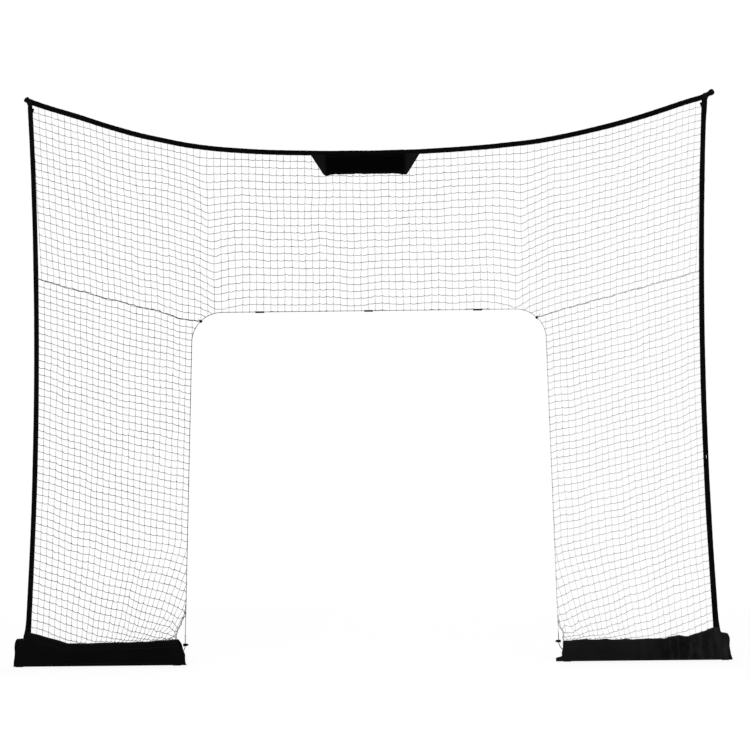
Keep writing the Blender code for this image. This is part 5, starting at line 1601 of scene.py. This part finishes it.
def build_stage():
    scene = bpy.context.scene
    stage = scene.backstop_net_stage
    scene.view_settings.view_transform = "Standard"
    world = bpy.data.worlds.new("studio")
    scene.world = world
    world.use_nodes = True
    nodes = Nodes(world.node_tree)
    nodes.tree.nodes.clear()
    lit = nodes.node("ShaderNodeBackground", inputs={"Color": WHITE, "Strength": stage.sky})
    plain = nodes.node("ShaderNodeBackground", inputs={"Color": WHITE, "Strength": 1.0})
    mixed = nodes.node("ShaderNodeMixShader", inputs={0: nodes.seen_plainly(), 1: lit, 2: plain})
    nodes.node("ShaderNodeOutputWorld", inputs={"Surface": mixed})
    # Name, place, target, side and power
    lamps = (
        ("key_lamp", (-3.2, -6.5, 5.0), (0, 0, 1.2), 4.0, stage.key),
        ("fill_lamp", (4.5, -5.0, 2.6), (0, 0, 1.4), 3.5, stage.fill),
        ("back_lamp", (0.5, 5.5, 5.0), (0, 0, 1.2), 4.0, stage.fill),
    )
    for name, where, target, side, power in lamps:
        lamp = bpy.data.lights.new(name, "AREA")
        lamp.shape = "SQUARE"
        lamp.size = side
        lamp.energy = power
        obj = bpy.data.objects.new(name, lamp)
        scene.collection.objects.link(obj)
        way = Vector(target) - Vector(where)
        obj.matrix_world = Matrix.Translation(where) @ way.to_track_quat("-Z", "Y").to_matrix().to_4x4()
    floor_mesh = bpy.data.meshes.new("floor")
    corners = [(x * FLOOR_REACH, y * FLOOR_REACH, 0) for x, y in ((-1, -1), (1, -1), (1, 1), (-1, 1))]
    floor_mesh.from_pydata(corners, [], [(0, 1, 2, 3)])
    floor = bpy.data.objects.new("floor", floor_mesh)
    floor.location = (0, 0, -0.0004)
    scene.collection.objects.link(floor)
    made = Finish("pale_floor", Roughness=0.9, Specular_IOR_Level=0.1, Base_Color=(*stage.floor, 1.0))
    away = made.node("ShaderNodeVectorMath", {"operation": "LENGTH"}, {0: made.place()}, output=1)
    white = stage.whiteness + (1.0 - stage.whiteness) * made.between(away, *FLOOR_FADE)
    share = made.seen_plainly() * white
    glow = made.node("ShaderNodeEmission", inputs={"Color": WHITE, "Strength": 1.0})
    inputs = {0: share.limited(), 1: Value(made, made.shader.outputs[0]), 2: glow}
    mixed = made.node("ShaderNodeMixShader", inputs=inputs)
    made.feed(made.tree.nodes["Material Output"].inputs["Surface"], mixed)
    floor_mesh.materials.append(made.material)


# Operators and panel


class BACKSTOP_OT_camera(bpy.types.Operator):
    """Set the camera at the height and angle of the studio view"""

    bl_idname = "backstop.camera"
    bl_label = "Camera"

    def execute(self, context):
        build_camera()
        return {"FINISHED"}


class BACKSTOP_OT_cords(bpy.types.Operator):
    """Make the border cord, the laced seams and the elastic cords"""

    bl_idname = "backstop.cords"
    bl_label = "Border Cord, Lacing and Elastics"

    def execute(self, context):
        build_cords()
        return {"FINISHED"}


class BACKSTOP_OT_net(bpy.types.Operator):
    """Knot the three panels of the net and lash them to the border cord"""

    bl_idname = "backstop.net"
    bl_label = "Knotted Net"

    def execute(self, context):
        build_net()
        return {"FINISHED"}


class BACKSTOP_OT_bands(bpy.types.Operator):
    """Sew the top binding and the sleeves of the poles"""

    bl_idname = "backstop.bands"
    bl_label = "Binding and Sleeves"

    def execute(self, context):
        build_top_band()
        build_sleeves()
        return {"FINISHED"}


class BACKSTOP_OT_panel_cloth(bpy.types.Operator):
    """Sew the plain cloth panel under the middle of the binding"""

    bl_idname = "backstop.panel_cloth"
    bl_label = "Centre Panel"

    def execute(self, context):
        build_panel()
        return {"FINISHED"}


class BACKSTOP_OT_covers(bpy.types.Operator):
    """Drape the cloth covers over the bases"""

    bl_idname = "backstop.covers"
    bl_label = "Base Covers"

    def execute(self, context):
        build_covers()
        return {"FINISHED"}


class BACKSTOP_OT_straps(bpy.types.Operator):
    """Fold and stitch the straps round the border cord"""

    bl_idname = "backstop.straps"
    bl_label = "Straps"

    def execute(self, context):
        build_straps()
        return {"FINISHED"}


class BACKSTOP_OT_fittings(bpy.types.Operator):
    """Mould the corner fittings, tip knobs and cord locks"""

    bl_idname = "backstop.fittings"
    bl_label = "Corner Fittings and Cord Locks"

    def execute(self, context):
        build_corners()
        build_cord_locks()
        return {"FINISHED"}


class BACKSTOP_OT_steelwork(bpy.types.Operator):
    """Build the base tubes, feet, brackets, bolts and legs, and finish the poles"""

    bl_idname = "backstop.steelwork"
    bl_label = "Bases, Legs and Poles"

    def execute(self, context):
        build_base_steel()
        dress_carried()
        return {"FINISHED"}


class BACKSTOP_OT_stage(bpy.types.Operator):
    """Lay the pale floor and set up the soft studio light"""

    bl_idname = "backstop.stage"
    bl_label = "Stage"

    def execute(self, context):
        build_stage()
        return {"FINISHED"}


STEPS = (
    BACKSTOP_OT_camera,
    BACKSTOP_OT_cords,
    BACKSTOP_OT_net,
    BACKSTOP_OT_bands,
    BACKSTOP_OT_panel_cloth,
    BACKSTOP_OT_covers,
    BACKSTOP_OT_straps,
    BACKSTOP_OT_fittings,
    BACKSTOP_OT_steelwork,
    BACKSTOP_OT_stage,
)


class BACKSTOP_PT_sidebar(bpy.types.Panel):
    """Lists the pieces of the backstop net and their sizes"""

    bl_idname = "BACKSTOP_PT_sidebar"
    bl_label = "Backstop Net"
    bl_space_type = "VIEW_3D"
    bl_region_type = "UI"
    bl_category = "Backstop Net"

    def draw(self, context):
        layout = self.layout
        for step in STEPS:
            layout.operator(step.bl_idname)
        for group in ("backstop_net_sizes", "backstop_net_colours", "backstop_net_stage"):
            box = layout.box()
            held = getattr(context.scene, group)
            for name in held.bl_rna.properties.keys():
                if name not in ("rna_type", "name"):
                    box.prop(held, name)


GROUPS = {
    "backstop_net_sizes": BackstopNetSizes,
    "backstop_net_colours": BackstopNetColours,
    "backstop_net_stage": BackstopNetStage,
}


def register():
    for made in (*GROUPS.values(), *STEPS, BACKSTOP_PT_sidebar):
        bpy.utils.register_class(made)
    for name, group in GROUPS.items():
        setattr(bpy.types.Scene, name, bpy.props.PointerProperty(type=group))


def unregister():
    for name in GROUPS:
        delattr(bpy.types.Scene, name)
    for made in reversed((*GROUPS.values(), *STEPS, BACKSTOP_PT_sidebar)):
        bpy.utils.unregister_class(made)


def main():
    register()
    for step in STEPS:
        group, name = step.bl_idname.split(".")
        getattr(getattr(bpy.ops, group), name)()


if __name__ == "__main__":
    main()
